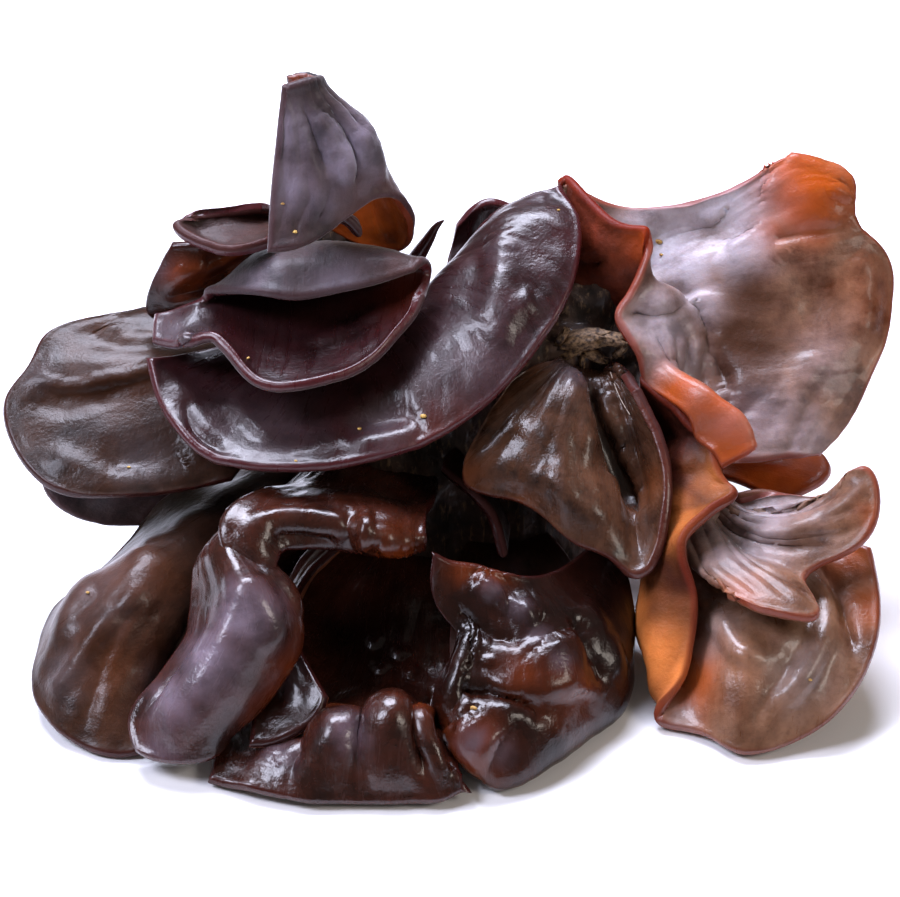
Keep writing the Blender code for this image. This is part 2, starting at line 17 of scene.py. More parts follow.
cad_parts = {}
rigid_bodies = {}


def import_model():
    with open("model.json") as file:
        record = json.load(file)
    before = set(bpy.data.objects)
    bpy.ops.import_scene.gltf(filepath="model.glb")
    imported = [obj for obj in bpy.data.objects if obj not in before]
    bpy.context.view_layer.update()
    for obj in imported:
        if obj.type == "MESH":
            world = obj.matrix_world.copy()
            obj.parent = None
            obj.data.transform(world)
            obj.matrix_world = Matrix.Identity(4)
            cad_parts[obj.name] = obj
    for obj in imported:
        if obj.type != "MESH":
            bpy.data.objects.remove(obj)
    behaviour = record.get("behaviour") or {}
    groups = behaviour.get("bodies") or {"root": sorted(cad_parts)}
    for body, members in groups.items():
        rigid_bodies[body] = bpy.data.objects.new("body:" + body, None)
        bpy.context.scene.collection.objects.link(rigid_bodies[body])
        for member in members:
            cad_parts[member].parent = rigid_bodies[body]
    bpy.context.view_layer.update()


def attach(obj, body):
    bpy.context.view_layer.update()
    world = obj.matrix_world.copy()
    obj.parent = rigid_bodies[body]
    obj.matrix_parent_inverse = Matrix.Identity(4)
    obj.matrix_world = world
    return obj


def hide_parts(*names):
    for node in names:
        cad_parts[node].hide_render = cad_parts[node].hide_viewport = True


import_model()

bl_info = {
    "name": "Wood Ear Mushroom",
    "version": (1, 0, 0),
    "blender": (4, 5, 0),
    "location": "3D View > Sidebar > Wood Ear",
    "description": "Grows a wet cluster of wood ears on its holdfast",
    "category": "Add Mesh",
}

MM = 0.001
# The cut's centre in the tables, which is put on the origin.
CUT_CENTRE = np.array((2.0, 12.0, 0.0))
# A root is a copy of the spokes' starts, narrowed by this share but never below this width.
ROOT_SPREAD = 0.3
LEAST_ROOT_WIDTH = 7.0
ROOT_BLEND = 14.0
FLOOR_GAP = 0.03
# Distances of the finest grid lines from a free edge.
EDGE_STEPS = (0, 0.1, 0.24, 0.42, 0.64, 0.9, 1.2, 1.55, 1.95)
THINNEST_EDGE = 0.07
# Places are looked for this many times on each leg of a fold's path, and a fold fades at both ends.
PATH_STEPS = 12
FOLD_FADE = 0.25
# Ribs fade at the first and last of their count, and at the start and the end of their reach.
RIB_FADE, RIB_START, RIB_END = 0.15, 0.3, 0.2
TINY = 1e-9
EVEN_ROWS = 9
# Sizes of the lumps in each kind of relief, in millimetres.
RIPPLE_LUMPS = (13.0, 5.5)
CRINKLE_WIDTH, CRINKLE_LENGTH, CRINKLE_LUMP = 1.7, 8.0, 1.9
RIM_WAVE_LUMP, RIM_WAVE_REACH, CURL_REACH = 6.0, 4.0, 2.2
RIB_SWAY_LUMP = 8.0
VELVET_LUMP = 0.9
BEAD_PLACE, BEAD_WIDTH = 0.9, 0.75
LUMP_SIDES, MELT_ROUNDS = 48, 12
# Bark is drawn out upwards, and everything of the holdfast below this height is the flat cut.
BARK_STRETCH = (1.0, 1.0, 0.35)
CUT_REACH = 0.6
CRUMB_SHAPE = (1.0, 0.75, 0.6)
CHIP_GRAIN = (0.3, 2.5, 2.5)
STRAND_SIDES, STRAND_LOOPS = 10, 40
FLOOR_SIZE = 6.0
LENS_MM, SENSOR_MM = 135.0, 36.0
CAMERA_AIM = Vector((-0.002, -0.012, 0.0282))
CAMERA_BACK = Vector((0.0, -0.8, 0.6))
LIGHT_TARGET = Vector((0.0, 0.0, 0.03))
# Each kind of relief draws its own noise.
(RIPPLE_SEED, FINE_RIPPLE_SEED, CRINKLE_SEED, FINE_CRINKLE_SEED, RIM_SEED, RIB_SEED, PAINTED_LIGHT_SEED,
 VELVET_SEED, BARK_SEED, FINE_BARK_SEED, BARK_PIT_SEED, CRUMB_SEED, CHIP_SEED) = range(13)

Nudge = namedtuple("Nudge", "across along radius move")
Ribs = namedtuple("Ribs", "counts counted reach count height")
Skin = namedtuple("Skin", "slot wet velvet wet_side ripple crinkle curl")
# Of a finish's four colours, the second is a painted glow of light through thin flesh and the third a painted
# sheen of the sky.
Finish = namedtuple("Finish", "deep glow film rim rough coat coat_rough soft pores streaks shine")

# A ring of the holdfast is height, centre x, centre y, half width, half depth.
STUMP_RINGS = (
    (0, 2, 12, 25, 15), (6, 1, 11, 25, 14), (14, 1, 11, 25, 13), (22, 2, 12, 25, 12), (30, 3, 13, 25, 10),
    (37, 5, 14, 23, 8.5), (41, 8, 13, 20, 6.5), (44, 10, 12, 13, 4),
)
SHOULDER_RINGS = (
    (20, -14, 18, 9, 7), (34, -19, 21, 8, 6.5), (46, -22, 23, 6.5, 5.5), (54, -21, 24, 5, 4.2),
    (60, -20, 24.5, 3, 2.2),
)
# Necks that carry the clam, the horn and the tall cup from the holdfast.
NECK_RINGS = (
    ((30, 8, 15, 14, 8), (38, 15, 17, 10, 6.5), (45, 22, 19, 7, 4.5), (50, 26, 20, 5, 3)),
    ((30, -12, 18, 10, 7), (40, -16, 18, 9, 6), (49, -18, 17, 7, 4.5), (54, -19, 17, 5, 3)),
    ((26, 20, 13, 10, 8), (34, 27, 13, 7.5, 5.5), (42, 31, 14, 5, 4), (47, 32, 15, 2.5, 2)),
)

# name: (root point or None, spokes from the root to the rim), with a spoke's points end to end
EAR_FORMS = {
    "centre_shelf_ear": ((-4, 16, 38), (
        (-28, 13, 42, -40, 8, 43, -50, 4, 44), (-26, 11, 42, -38, 4, 41.5, -47.5, -3.5, 40),
        (-23, 10, 42, -33, -1, 39, -41, -12, 37), (-20, 10, 42.5, -26, -3, 39, -32, -15.5, 36),
        (-16, 10, 43.5, -19, -3, 41, -22, -16.5, 36.3), (-12, 11, 44.5, -10, -2, 43, -10, -14.5, 37.3),
        (-8, 13, 46, -2, 2, 46.5, 0, -10.5, 39.5), (-5, 15, 47.5, 4, 6, 51, 9, -5, 44.5),
        (-3, 17, 49, 8, 12, 55, 16.5, 2.5, 51), (-1, 19, 50, 10, 18, 58, 21, 12, 56),
        (1, 22, 50, 10, 23, 59.5, 21.5, 22, 60), (2, 25, 49, 10, 27.5, 57, 19, 27, 61.5),
        (1.5, 26.5, 46.5, 4, 28.3, 53, 11, 29.3, 58.3, 18.3, 28.5, 62.2),
    )),
    "clam_ear": (None, (
        (-6, 9, 57.5, -4, 10.5, 57.5, -3.5, 11, 56, -4, 9, 55, -5, 6.5, 55),
        (-12, 6, 57, -10, 11, 59, -8, 14, 56, -8, 8, 52.5, -8.5, -0.5, 52),
        (-18, 3.5, 57, -17, 10, 60, -15, 17, 56, -15, 6, 50, -16, -7.5, 49.3),
        (-25, 2, 56.5, -25, 9, 60, -24, 18, 56, -24, 6, 49, -26, -10, 48),
        (-31, 3.5, 56.5, -31, 9, 59, -32, 16, 55, -32, 6, 49, -33, -7, 48),
        (-38, 7.5, 54, -37.5, 10.5, 53.8, -37.5, 12.5, 52, -37.5, 7.5, 50, -38, -1, 51.5),
        (-42.5, 10, 51, -42.3, 9.5, 50.6, -42.2, 8, 50.2, -42.2, 4.5, 49.7, -42.5, 0, 49.3),
        (-49, 10, 48.3, -49, 9, 48.2, -49, 8, 48, -49, 6, 47.5, -49, 4, 47.3),
    )),
    "horn_ear": (None, (
        (-27, 18, 87.5, -28, 14, 80, -29, 9.5, 71.5, -29.5, 5, 64),
        (-25, 18.7, 88, -23.5, 14.5, 80, -22.5, 10, 72, -24, 6, 64.5),
        (-23, 20, 87.7, -18.5, 16, 80, -16, 12.5, 73, -17, 12, 67),
        (-22, 21, 87, -16.3, 19, 80, -12.3, 17.5, 74, -9, 15.5, 67.5),
        (-23, 22, 86.7, -18.3, 22.3, 79, -12.3, 20.8, 70, -7, 19, 56),
        (-24, 22.5, 86.7, -21, 24, 78, -16.5, 23.5, 68, -13, 21.5, 53.5),
        (-26, 21.5, 86.7, -25.5, 23, 78, -24, 22.5, 69, -21, 22, 58),
    )),
    "top_dish_ear": ((-24, 23, 57), (
        (-28, 22.5, 60.5, -29.5, 20.5, 62.5, -31, 18.5, 64),
        (-29, 21.8, 60.2, -34.5, 18.5, 62.7, -41, 16, 64.5),
        (-29.5, 20.4, 60, -36.5, 15.5, 61.8, -45.5, 13, 63.5),
        (-29.3, 18.8, 60, -34, 13, 61.5, -41, 9, 62.7),
        (-28.4, 17.4, 60, -30.6, 12.3, 61.7, -34.5, 7.5, 62.5),
        (-27, 16.6, 60, -28, 12.8, 61.8, -29.3, 9.5, 62.5),
    )),
    "dark_curl_ear": ((-24, 22, 46), (
        (-31, 24, 55, -37, 20, 57, -42, 17.5, 58, -46, 18, 57.5),
        (-31, 23, 52, -38, 19, 53, -44, 15.5, 53, -49, 17, 52),
        (-31, 22, 48, -38, 18, 48, -45, 14.5, 48, -51, 16, 46),
        (-31, 21, 45, -38, 18.5, 45, -45, 16, 44.5, -50, 16, 43.5),
    )),
    "hood_curl_ear": (None, (
        (-20.5, 18.5, 61.5, -21, 15.5, 64, -20.5, 13, 65.5),
        (-18.5, 18, 61.7, -18, 15.5, 64.2, -17.2, 13, 64.5),
        (-16.5, 17.5, 61.3, -15.5, 15, 62.5, -14.7, 12.5, 62),
    )),
    "back_round_ear": ((4, 20, 36), (
        (-1, 26, 43, 0, 31, 47, 1, 32, 51.5), (1, 26, 43, 3, 31.5, 49, 4, 32.5, 55),
        (4, 26, 43, 6, 32, 50, 7.5, 33, 56), (7, 26, 43, 9, 32, 49, 11, 33, 54.5),
    )),
    "left_dish_ear": ((-18, 14, 34), (
        (-28, 19, 38.5, -40, 21, 40, -52, 23, 40.5), (-28.3, 17.5, 38.2, -44, 18, 39.5, -58.5, 20, 41),
        (-28.5, 16, 38, -48, 14, 38.5, -68, 17, 40), (-28.5, 14, 38, -50, 10, 38.5, -71, 11, 37.5),
        (-28.5, 12, 37.5, -50, 7, 36, -74.5, 6, 34), (-28, 10, 37, -49, 3, 34, -72.5, -2, 30),
        (-27.5, 8.5, 36.5, -46, -1, 32, -65.5, -9.5, 27), (-27, 7.5, 36, -42, -2, 31.5, -56.5, -10.5, 26),
        (-25.5, 6.5, 35.5, -36, -1, 32, -46, -9.3, 26.2), (-24, 6, 35, -30, 0, 32, -36, -7, 27),
    )),
    "left_under_ear": ((-16, 12, 28), (
        (-28, 14, 32, -46, 10, 30, -58, 7, 28, -66, 4, 26),
        (-28, 12, 31.5, -48, 5, 29, -61, 1, 27, -68, -2, 22.5),
        (-28, 10, 31, -47, 1, 28, -59, -3, 25, -64.5, -5.5, 19.5),
        (-27.5, 8.5, 30.5, -45, -1, 26, -54, -5, 22.5, -58.5, -5.5, 17),
        (-27, 7.5, 30, -42, -1, 24, -49, -3, 20, -52, -4, 15.5),
    )),
    "lower_left_ear": ((-14, 9, 15), (
        (-26, 12, 16, -38, 9, 16, -50, 3, 14), (-26, 10, 16.5, -39, 2, 18, -56, -8, 11),
        (-26, 8, 17, -43, -6, 19, -64, -16, 8),
        (-26, 6.5, 17, -43, -10, 19.5, -60, -22, 14.5, -67.5, -25, 6),
        (-26, 5, 17, -42, -13, 19, -57, -30, 14.5, -67.5, -35, 3),
        (-25, 3.5, 16.5, -39, -15, 17, -53, -35, 10, -59, -44.5, 1.2),
        (-24, 2, 16, -36, -16, 14.5, -46, -32, 7.5, -51, -46, 1.2),
        (-22, 0.5, 15, -33, -15, 12, -42, -30, 5.5, -46, -44, 1.4),
    )),
    "rolled_tongue_ear": ((-8, 12, 21), (
        (-2, 0, 21, -3, -10, 24, -4, -18, 26.5, -4, -21.5, 26, -4, -21, 24),
        (-7, 1, 21.5, -8.5, -12, 25.5, -9, -20, 29, -10, -24.5, 28, -9, -23, 24.5),
        (-12, 2, 22, -15, -11, 27, -16.5, -20, 30.5, -17, -24, 29, -16, -23.5, 25),
        (-16, 3, 23, -22, -11, 27.5, -26, -19, 31, -27, -23.5, 30, -26, -24, 26),
        (-19, 3, 23.5, -28, -12, 28, -34, -20, 31, -36.5, -25.5, 29.5, -32, -29, 27, -29, -32, 23),
        (-20.3, 2.6, 23, -28, -14, 26, -34, -24, 28, -30, -30, 26, -24.5, -35, 19.5, -28.5, -41.5, 10.5,
         -36, -47, 6),
        (-21.4, 2.6, 22.6, -29, -14, 27, -36, -26, 28.5, -32.5, -36, 26, -35, -43, 19, -39.5, -48.5, 11,
         -40, -51, 4),
        (-22.4, 2.9, 22, -31, -14, 26, -39, -25, 26, -37.5, -33, 23.5, -42, -41, 16, -46.5, -47, 8.5,
         -46, -51, 4),
        (-23.4, 3.3, 21.3, -33, -14, 24, -41, -25, 22, -42, -33, 16, -47, -39, 10.5, -51.5, -43.5, 6.3,
         -50, -48.5, 4),
    )),
    "front_lip_ear": ((-6, 7, 6), (
        (-24, 1, 7.5, -36, -10, 8, -39, -28, 3, -37.5, -46, 2, -38.5, -52.5, 1),
        (-16, -4, 6, -24, -22, 2.5, -28, -42, 2.5, -28, -52, 3.5, -29, -55.5, 1),
        (-12, -4.5, 7, -16, -24, 2, -20, -42, 5, -20, -49.5, 9.5, -21, -54.5, 6, -21, -57, 1),
        (-8, -5, 7, -10, -24, 2, -13, -41, 7, -13, -47, 12, -14, -54, 8, -14, -57.5, 1),
        (-4, -5, 6.5, -5, -24, 1.7, -7, -41, 6, -7.5, -47.5, 12, -8, -54.5, 8, -8, -57.5, 1),
        (0, -5, 5.5, 2, -24, 1.2, 0, -39, 1.8, -3.5, -47.5, 9, -0.5, -54, 6, 3, -57.5, 1),
        (2, -5, 5, 5, -24, 1, 3.5, -40, 1, 1, -51, 3.8, 4, -56, 3.2, 7, -58, 1),
    )),
    "small_folded_ear": ((-8, 8, 11), (
        (-17, -3, 11, -25.5, -20, 11, -23, -36, 12.5, -19.5, -43, 11),
        (-18.5, -2, 10.5, -27, -21, 10, -26, -37, 11, -22, -47, 8.5),
        (-20, -1, 10, -28.5, -22, 8.8, -29, -38, 9, -28, -49, 6.5),
        (-21.5, 0, 9.5, -30, -23, 7.8, -31.5, -38, 7.5, -32, -49, 6),
    )),
    "front_right_ear": ((10, 6, 8), (
        (2, -4, 9, 0, -24, 5, -1, -38, 5.5, -2, -41, 10, -2.5, -34, 17, -3, -28, 22.5, -4, -26.5, 26.5),
        (3.5, -4, 9, 3, -25, 4.8, 1.5, -42, 5, 0.5, -48.5, 7, 0.5, -45, 13, 0.5, -34, 18.5, 0, -26.5, 25.5),
        (5, -4, 9, 7, -26, 4.2, 6, -45, 3.2, 5, -53, 3, 4.3, -51, 8, 4, -45, 13, 4, -34, 19, 4, -26.5, 25),
        (7, -4, 9, 10, -25, 3.6, 9.5, -45, 2, 8.5, -54, 2, 8, -50.5, 9, 8.5, -42, 15.5, 7.5, -32, 20,
         6, -26.8, 24.5),
        (9, -4, 9, 13, -24, 3, 13, -42, 1.6, 14, -51, 2.6, 13.5, -47.5, 10.5, 13, -38, 17, 11, -31, 20.5,
         8, -27, 24),
        (13, -4, 9, 19, -20, 2.5, 20, -35, 1.2, 22, -43, 2.2, 21.5, -40, 10.5, 18.5, -34, 17, 15, -30, 20,
         13, -26, 22),
        (16, -3, 9, 23, -16, 2, 26, -28, 1.2, 28.5, -35, 2.4, 27.5, -32, 10, 24, -27, 15, 20.5, -24, 17.5,
         18, -20.5, 19),
        (18.5, -2, 9, 25, -12, 3, 28, -19, 3.5, 29.3, -23.5, 6.5, 29.3, -19, 12.5, 28, -15, 15.5, 26.5, -13, 17,
         24.5, -11, 18),
    )),
    "inner_strip_ear": ((5, 9, 22), (
        (0, 2, 26, -1, -0.5, 26.5, -1.5, -3.5, 26.2), (3, 1, 24, 3.5, -4, 25, 3.5, -9, 24.5),
        (6, 0, 20, 7, -5, 21.5, 7, -11, 21), (8, 0, 15, 9, -7, 15.5, 8.6, -14, 16),
    )),
    "centre_right_ear": ((21, 12, 35), (
        (17, 5.5, 42, 13, 3, 42.5, 10, 0.5, 42), (18, 5, 41.7, 11.5, -2, 40.5, 5, -5, 36),
        (19, 4.8, 41.3, 12, -5, 38.5, 2.5, -10, 28),
        (20, 4.6, 41, 15, -8, 38, 12.5, -12, 32.5, 12, -14, 27),
        (22, 4.4, 40.5, 20, -9, 36.5, 20, -16, 31, 20, -20, 24),
        (24, 4.2, 40, 25, -8, 33.5, 26, -16, 28, 26, -22.5, 22.5),
        (26, 4, 39.5, 28, -5, 33, 30, -15, 24, 31, -24.5, 21),
        (27, 4, 39.5, 30, -4, 34, 32, -9.5, 29.5, 35.5, -16.5, 29.5),
        (28, 3.8, 40, 30, -1, 38, 32, -4, 36.5, 33.8, -7, 37), (28, 3.5, 41, 29.5, 0, 41, 30, -1.5, 41),
    )),
    "right_top_ear": (None, (
        (18.5, 30.5, 61, 21, 30, 60.5, 26, 29, 58.5, 34, 28, 58, 43, 27.5, 60, 51, 29, 63.5, 57, 31, 66,
         62.5, 30, 64.5),
        (21, 30, 62, 18.5, 25.5, 55, 21, 20, 48, 31, 25, 50, 43, 26, 56, 52, 27, 60.5, 59, 28.5, 64,
         66, 27.5, 62.5),
        (28, 20.5, 60, 24, 19, 53, 25, 18.5, 47, 34, 22, 48.5, 45, 23, 54.5, 54, 24, 58, 61, 25, 60.5,
         67.5, 25, 58.5),
        (33, 18, 60, 30, 16, 53, 31, 16.5, 47.5, 38, 19, 49, 47, 19.5, 53, 55, 20, 55, 63, 20.5, 55.5,
         70, 23, 56),
        (30, 11, 53, 35, 12.5, 50, 39, 14.5, 49, 46, 15, 48, 54, 14.5, 48.5, 62, 15.5, 50, 69, 18, 51,
         74.5, 20.5, 50),
        (28, 6.5, 48, 34, 7.5, 45, 40, 9.5, 43, 47, 8.5, 42, 54, 7.5, 42, 61, 8, 43, 67, 9.5, 43.5, 73, 12, 42),
        (37.5, -4, 40.3, 41, -3.5, 43, 39.2, 1.8, 38.5, 41.5, 4.5, 36.5, 47, 4, 38, 54, 3, 38.5, 60, 3.5, 39.5,
         66, 5, 39, 70, 6, 38),
        (43, -10.5, 37.8, 47.5, -9, 41, 43.8, -4, 36.5, 42.5, 0, 33, 47, 0.5, 33.5, 53, -1, 34, 58, -1, 34.5,
         63, -0.5, 34, 66.5, 1, 33),
        (46.8, -14.5, 35, 50, -12.5, 37, 47.5, -9, 33, 48, -5.5, 29.5, 51, -5.5, 29.5, 54.5, -5, 29.8,
         58, -5, 30, 60, -4.5, 30, 61.5, -4, 30),
    )),
    "small_dome_ear": ((20, 13, 22), (
        (34, 12, 20, 46, 10, 22, 60, 8, 24), (35, 10, 19, 48, 5, 23.5, 64, 1, 23),
        (35, 8, 18.7, 48, 2, 23, 61, -3.5, 22.5), (36, 6.5, 18.5, 46, 0.5, 21.5, 55, -5.5, 21),
    )),
    "long_flap_ear": ((17, 9, 17), (
        (31, 5, 23, 32.5, 3.5, 33, 32, 3.5, 41), (31.2, 4.6, 22.2, 35, 1, 32, 35.5, -0.3, 40),
        (31.4, 4.2, 21.4, 36.5, -1, 30, 41, -5.5, 37),
        (31.45, 4, 21, 36.5, -3.5, 28, 38.5, -6, 32, 43.5, -8, 35),
        (31.5, 3.8, 20.6, 35, -6, 25, 38, -9.5, 29.5, 45, -12.5, 31.5),
        (31.6, 3.4, 19.8, 33, -8, 21, 36, -13, 26, 46.5, -16.5, 30.5),
        (31.7, 3, 19, 32.5, -12, 17, 35, -17, 22, 39, -21, 27),
        (31.8, 2.6, 18.2, 32, -18, 12, 33, -23, 16, 40, -26, 19),
        (32, 2.2, 17.4, 32, -26, 7, 33, -30, 9.5, 39.5, -31.5, 12),
        (32.2, 1.9, 16.6, 36, -28, 4, 33.5, -34.5, 4, 37, -36, 6),
        (32.4, 1.6, 15.8, 38, -25, 6, 36, -35, 3, 33.5, -38.5, 2),
        (32.6, 1.3, 15, 41, -22, 11, 42, -34, 8, 40, -41, 1.2),
        (32.8, 1, 14.2, 46, -20, 16, 48, -36, 12, 47, -46, 1.2),
        (33, 0.8, 13.4, 52, -18, 17, 57, -35, 12, 57, -44, 3),
        (33.2, 0.6, 12.6, 55, -15, 16.5, 63, -29, 13.5, 65, -39, 8),
        (33.4, 0.4, 11.8, 57, -12, 16, 66, -24, 15, 70, -28, 14),
        (33.6, 0.2, 11, 56, -7, 16, 64, -12, 19, 69, -16, 20),
    )),
    "right_shelf_ear": ((20, 11, 28), (
        (34.5, 9.6, 25, 42, -4, 22, 48, -9.5, 24.5), (34.9, 8.8, 24.8, 45, -8, 22, 57, -10.5, 26.5),
        (35.3, 8, 24.5, 48, -10, 22.5, 63, -12.5, 28),
        (35.6, 7.3, 24.3, 50, -12, 23, 60, -14, 26, 66.5, -12, 33.5),
        (36, 6.6, 24, 50, -14, 23, 62, -17, 27.5, 69.5, -14.5, 32.5),
        (36.4, 5.9, 23.7, 50, -16, 22.5, 61, -19, 24, 68, -21, 26),
        (36.8, 5.2, 23.4, 48, -18, 21.5, 54, -22, 21, 58, -24, 20),
        (37.2, 4.4, 23.1, 47, -21, 22, 54, -29, 21.5, 59, -34, 20),
        (37.6, 3.7, 22.8, 44, -22, 22, 48, -29, 21.5, 51.5, -34, 21),
        (37.9, 3, 22.5, 40, -20, 20.5, 45, -29, 21), (38.2, 2.2, 22.2, 38.5, -16, 19.5, 42, -21, 19.5),
    )),
    "back_left_ear": ((-8, 17, 24), (
        (-25, 29, 30, -38, 32, 35, -48, 32, 38), (-20, 31, 30, -32, 38, 34, -42, 42, 37),
        (-15, 31, 30.5, -22, 41, 33, -30, 47, 34), (-10, 31, 30, -13, 41, 31, -18, 47, 31),
        (-5, 31, 29, -5, 38, 29, -7, 43, 28),
    )),
    "back_right_ear": ((14, 18, 24), (
        (12, 30, 25, 10, 38, 26, 8, 44, 25), (16, 30, 26, 18, 40, 28, 19, 48, 28),
        (20, 29, 27, 27, 39, 30, 32, 47, 31), (24, 27, 27.5, 35, 34, 32, 45, 40, 34),
        (27, 24, 27.5, 41, 27, 32, 54, 29, 35), (29, 21, 27, 43, 19, 30, 55, 18, 32),
    )),
    "back_low_ear": ((0, 18, 10), (
        (-22, 24, 12, -32, 27, 11, -42, 26, 5), (-16, 28, 13, -25, 36, 12, -34, 41, 4),
        (-7, 30, 13.5, -11, 41, 12, -16, 49, 3), (3, 30, 13.5, 3, 42, 12, 3, 50, 3),
        (12, 29, 13, 17, 39, 12, 22, 46, 4), (20, 26, 12, 29, 32, 11, 38, 36, 5),
    )),
}

# The wet side is +1 where it faces the way that the grid's normals do, and -1 where it faces back.
EAR_SKINS = {
    "centre_shelf_ear": Skin("purple_brown_ear", "wet_purple", "brown_velvet", -1, 0.5, 0.10, 0.5),
    "clam_ear": Skin("purple_brown_ear", "wet_purple", "grey_velvet", 1, 0.4, 0.04, 0.4),
    "horn_ear": Skin("velvet_grey_ear", "wet_orange", "grey_velvet", 1, 0.5, 0.16, 0.3),
    "top_dish_ear": Skin("wet_brown_ear", "wet_purple", "brown_velvet", 1, 0.3, 0.08, 0.5),
    "dark_curl_ear": Skin("dark_brown_ear", "wet_dark", "brown_velvet", -1, 0.5, 0.12, 0.3),
    "hood_curl_ear": Skin("velvet_grey_ear", "wet_dark", "grey_velvet", 1, 0.1, 0.04, 0.2),
    "back_round_ear": Skin("purple_brown_ear", "wet_purple", "brown_velvet", 1, 0.4, 0.10, 0.4),
    "left_dish_ear": Skin("wet_brown_ear", "wet_umber", "brown_velvet", -1, 0.5, 0.04, 0.5),
    "left_under_ear": Skin("velvet_grey_ear", "wet_brown", "grey_velvet", 1, 0.4, 0.10, 0.3),
    "lower_left_ear": Skin("wet_brown_ear", "wet_umber", "brown_velvet", -1, 0.7, 0.03, 0.3),
    "rolled_tongue_ear": Skin("wet_brown_ear", "wet_brown", "brown_velvet", 1, 0.6, 0.14, 0.0),
    "front_lip_ear": Skin("wet_brown_ear", "wet_brown", "brown_velvet", -1, 0.7, 0.12, 0.0),
    "small_folded_ear": Skin("wet_brown_ear", "wet_dark", "tan_velvet", 1, 0.5, 0.12, 0.2),
    "front_right_ear": Skin("wet_brown_ear", "wet_dark", "brown_velvet", 1, 0.7, 0.14, 0.0),
    "inner_strip_ear": Skin("dark_brown_ear", "wet_dark", "brown_velvet", 1, 0.3, 0.08, 0.2),
    "centre_right_ear": Skin("tan_brown_ear", "wet_fawn", "brown_velvet", -1, 0.5, 0.14, 0.3),
    "right_top_ear": Skin("milky_brown_ear", "wet_milky", "rust_velvet", 1, 0.6, 0.10, 0.3),
    "small_dome_ear": Skin("tan_brown_ear", "wet_orange", "orange_velvet", 1, 0.4, 0.10, 0.2),
    "long_flap_ear": Skin("tan_brown_ear", "wet_tan", "wine_velvet", -1, 0.6, 0.14, 0.3),
    "right_shelf_ear": Skin("milky_brown_ear", "wet_milky", "tan_velvet", 1, 0.4, 0.14, 0.3),
    "back_left_ear": Skin("wet_brown_ear", "wet_brown", "brown_velvet", 1, 0.7, 0.14, 0.5),
    "back_right_ear": Skin("tan_brown_ear", "wet_tan", "brown_velvet", 1, 0.7, 0.14, 0.5),
    "back_low_ear": Skin("purple_brown_ear", "wet_purple", "brown_velvet", 1, 0.7, 0.14, 0.5),
}

# Wet skins are gelatine under a thin layer of water. Velvets are mats of short hairs.
# Of each finish's colours, the second is painted light, the orange of light shining through thin flesh,
# and the third a painted sheen, the sky reflected on the skin.
FINISHES = {
    "wet_purple": Finish("180809", "8a3208", "5e5358", "4a161b", (0.22, 0.4), 0.3, 0.1, 0.12, 0.3, 0.12, 0.5),
    "wet_brown": Finish("180805", "8a3808", "786a76", "3c1412", (0.16, 0.34), 0.4, 0.07, 0.12, 0.3, 0.12, 0.5),
    "wet_umber": Finish("180c08", "82400e", "5f5658", "3e1615", (0.26, 0.42), 0.12, 0.1, 0.12, 0.3, 0.08, 0.28),
    "wet_dark": Finish("0e0504", "7c3410", "5a4c52", "321312", (0.14, 0.3), 0.35, 0.06, 0.08, 0.3, 0.15, 0.35),
    "wet_milky": Finish("3e2315", "a04400", "bcb5c0", "7a2c18", (0.28, 0.46), 0.2, 0.1, 0.2, 0.25, 0.15, 0.32),
    "wet_fawn": Finish("1e100a", "8a4414", "857884", "4c1c18", (0.2, 0.38), 0.28, 0.08, 0.12, 0.25, 0.1, 0.4),
    "wet_tan": Finish("4c2e1c", "a84a0c", "94837f", "642418", (0.24, 0.42), 0.35, 0.1, 0.15, 0.25, 0.15, 0.5),
    "wet_orange": Finish("56200a", "b04c08", "9a8d95", "66200f", (0.3, 0.5), 0.25, 0.15, 0.3, 0.3, 0.3, 0.5),
    "grey_velvet": Finish("170d0f", "803408", "8a8090", "3c1c1e", (0.42, 0.6), 0.15, 0.25, 0.08, 0.6, 0.45, 0.3),
    "brown_velvet": Finish("1e0f0b", "8a3c0c", "6c5c60", "401a18", (0.42, 0.62), 0.1, 0.25, 0.08, 0.6, 0.25,
                           0.25),
    "tan_velvet": Finish("523424", "a8541a", "94847f", "64301e", (0.44, 0.64), 0.1, 0.3, 0.15, 0.6, 0.3, 0.25),
    "orange_velvet": Finish("6a2a0e", "b8560c", "a08f8e", "601e12", (0.38, 0.56), 0.1, 0.2, 0.3, 0.5, 0.25, 0.15),
    "rust_velvet": Finish("2c0f07", "b84600", "8c4a2c", "6a180a", (0.36, 0.56), 0.05, 0.2, 0.2, 0.4, 0.2, 0.12),
    "wine_velvet": Finish("1e0c08", "d67c3c", "a8684a", "6a2416", (0.4, 0.56), 0.05, 0.2, 0.2, 0.5, 0.2, 0.15),
}

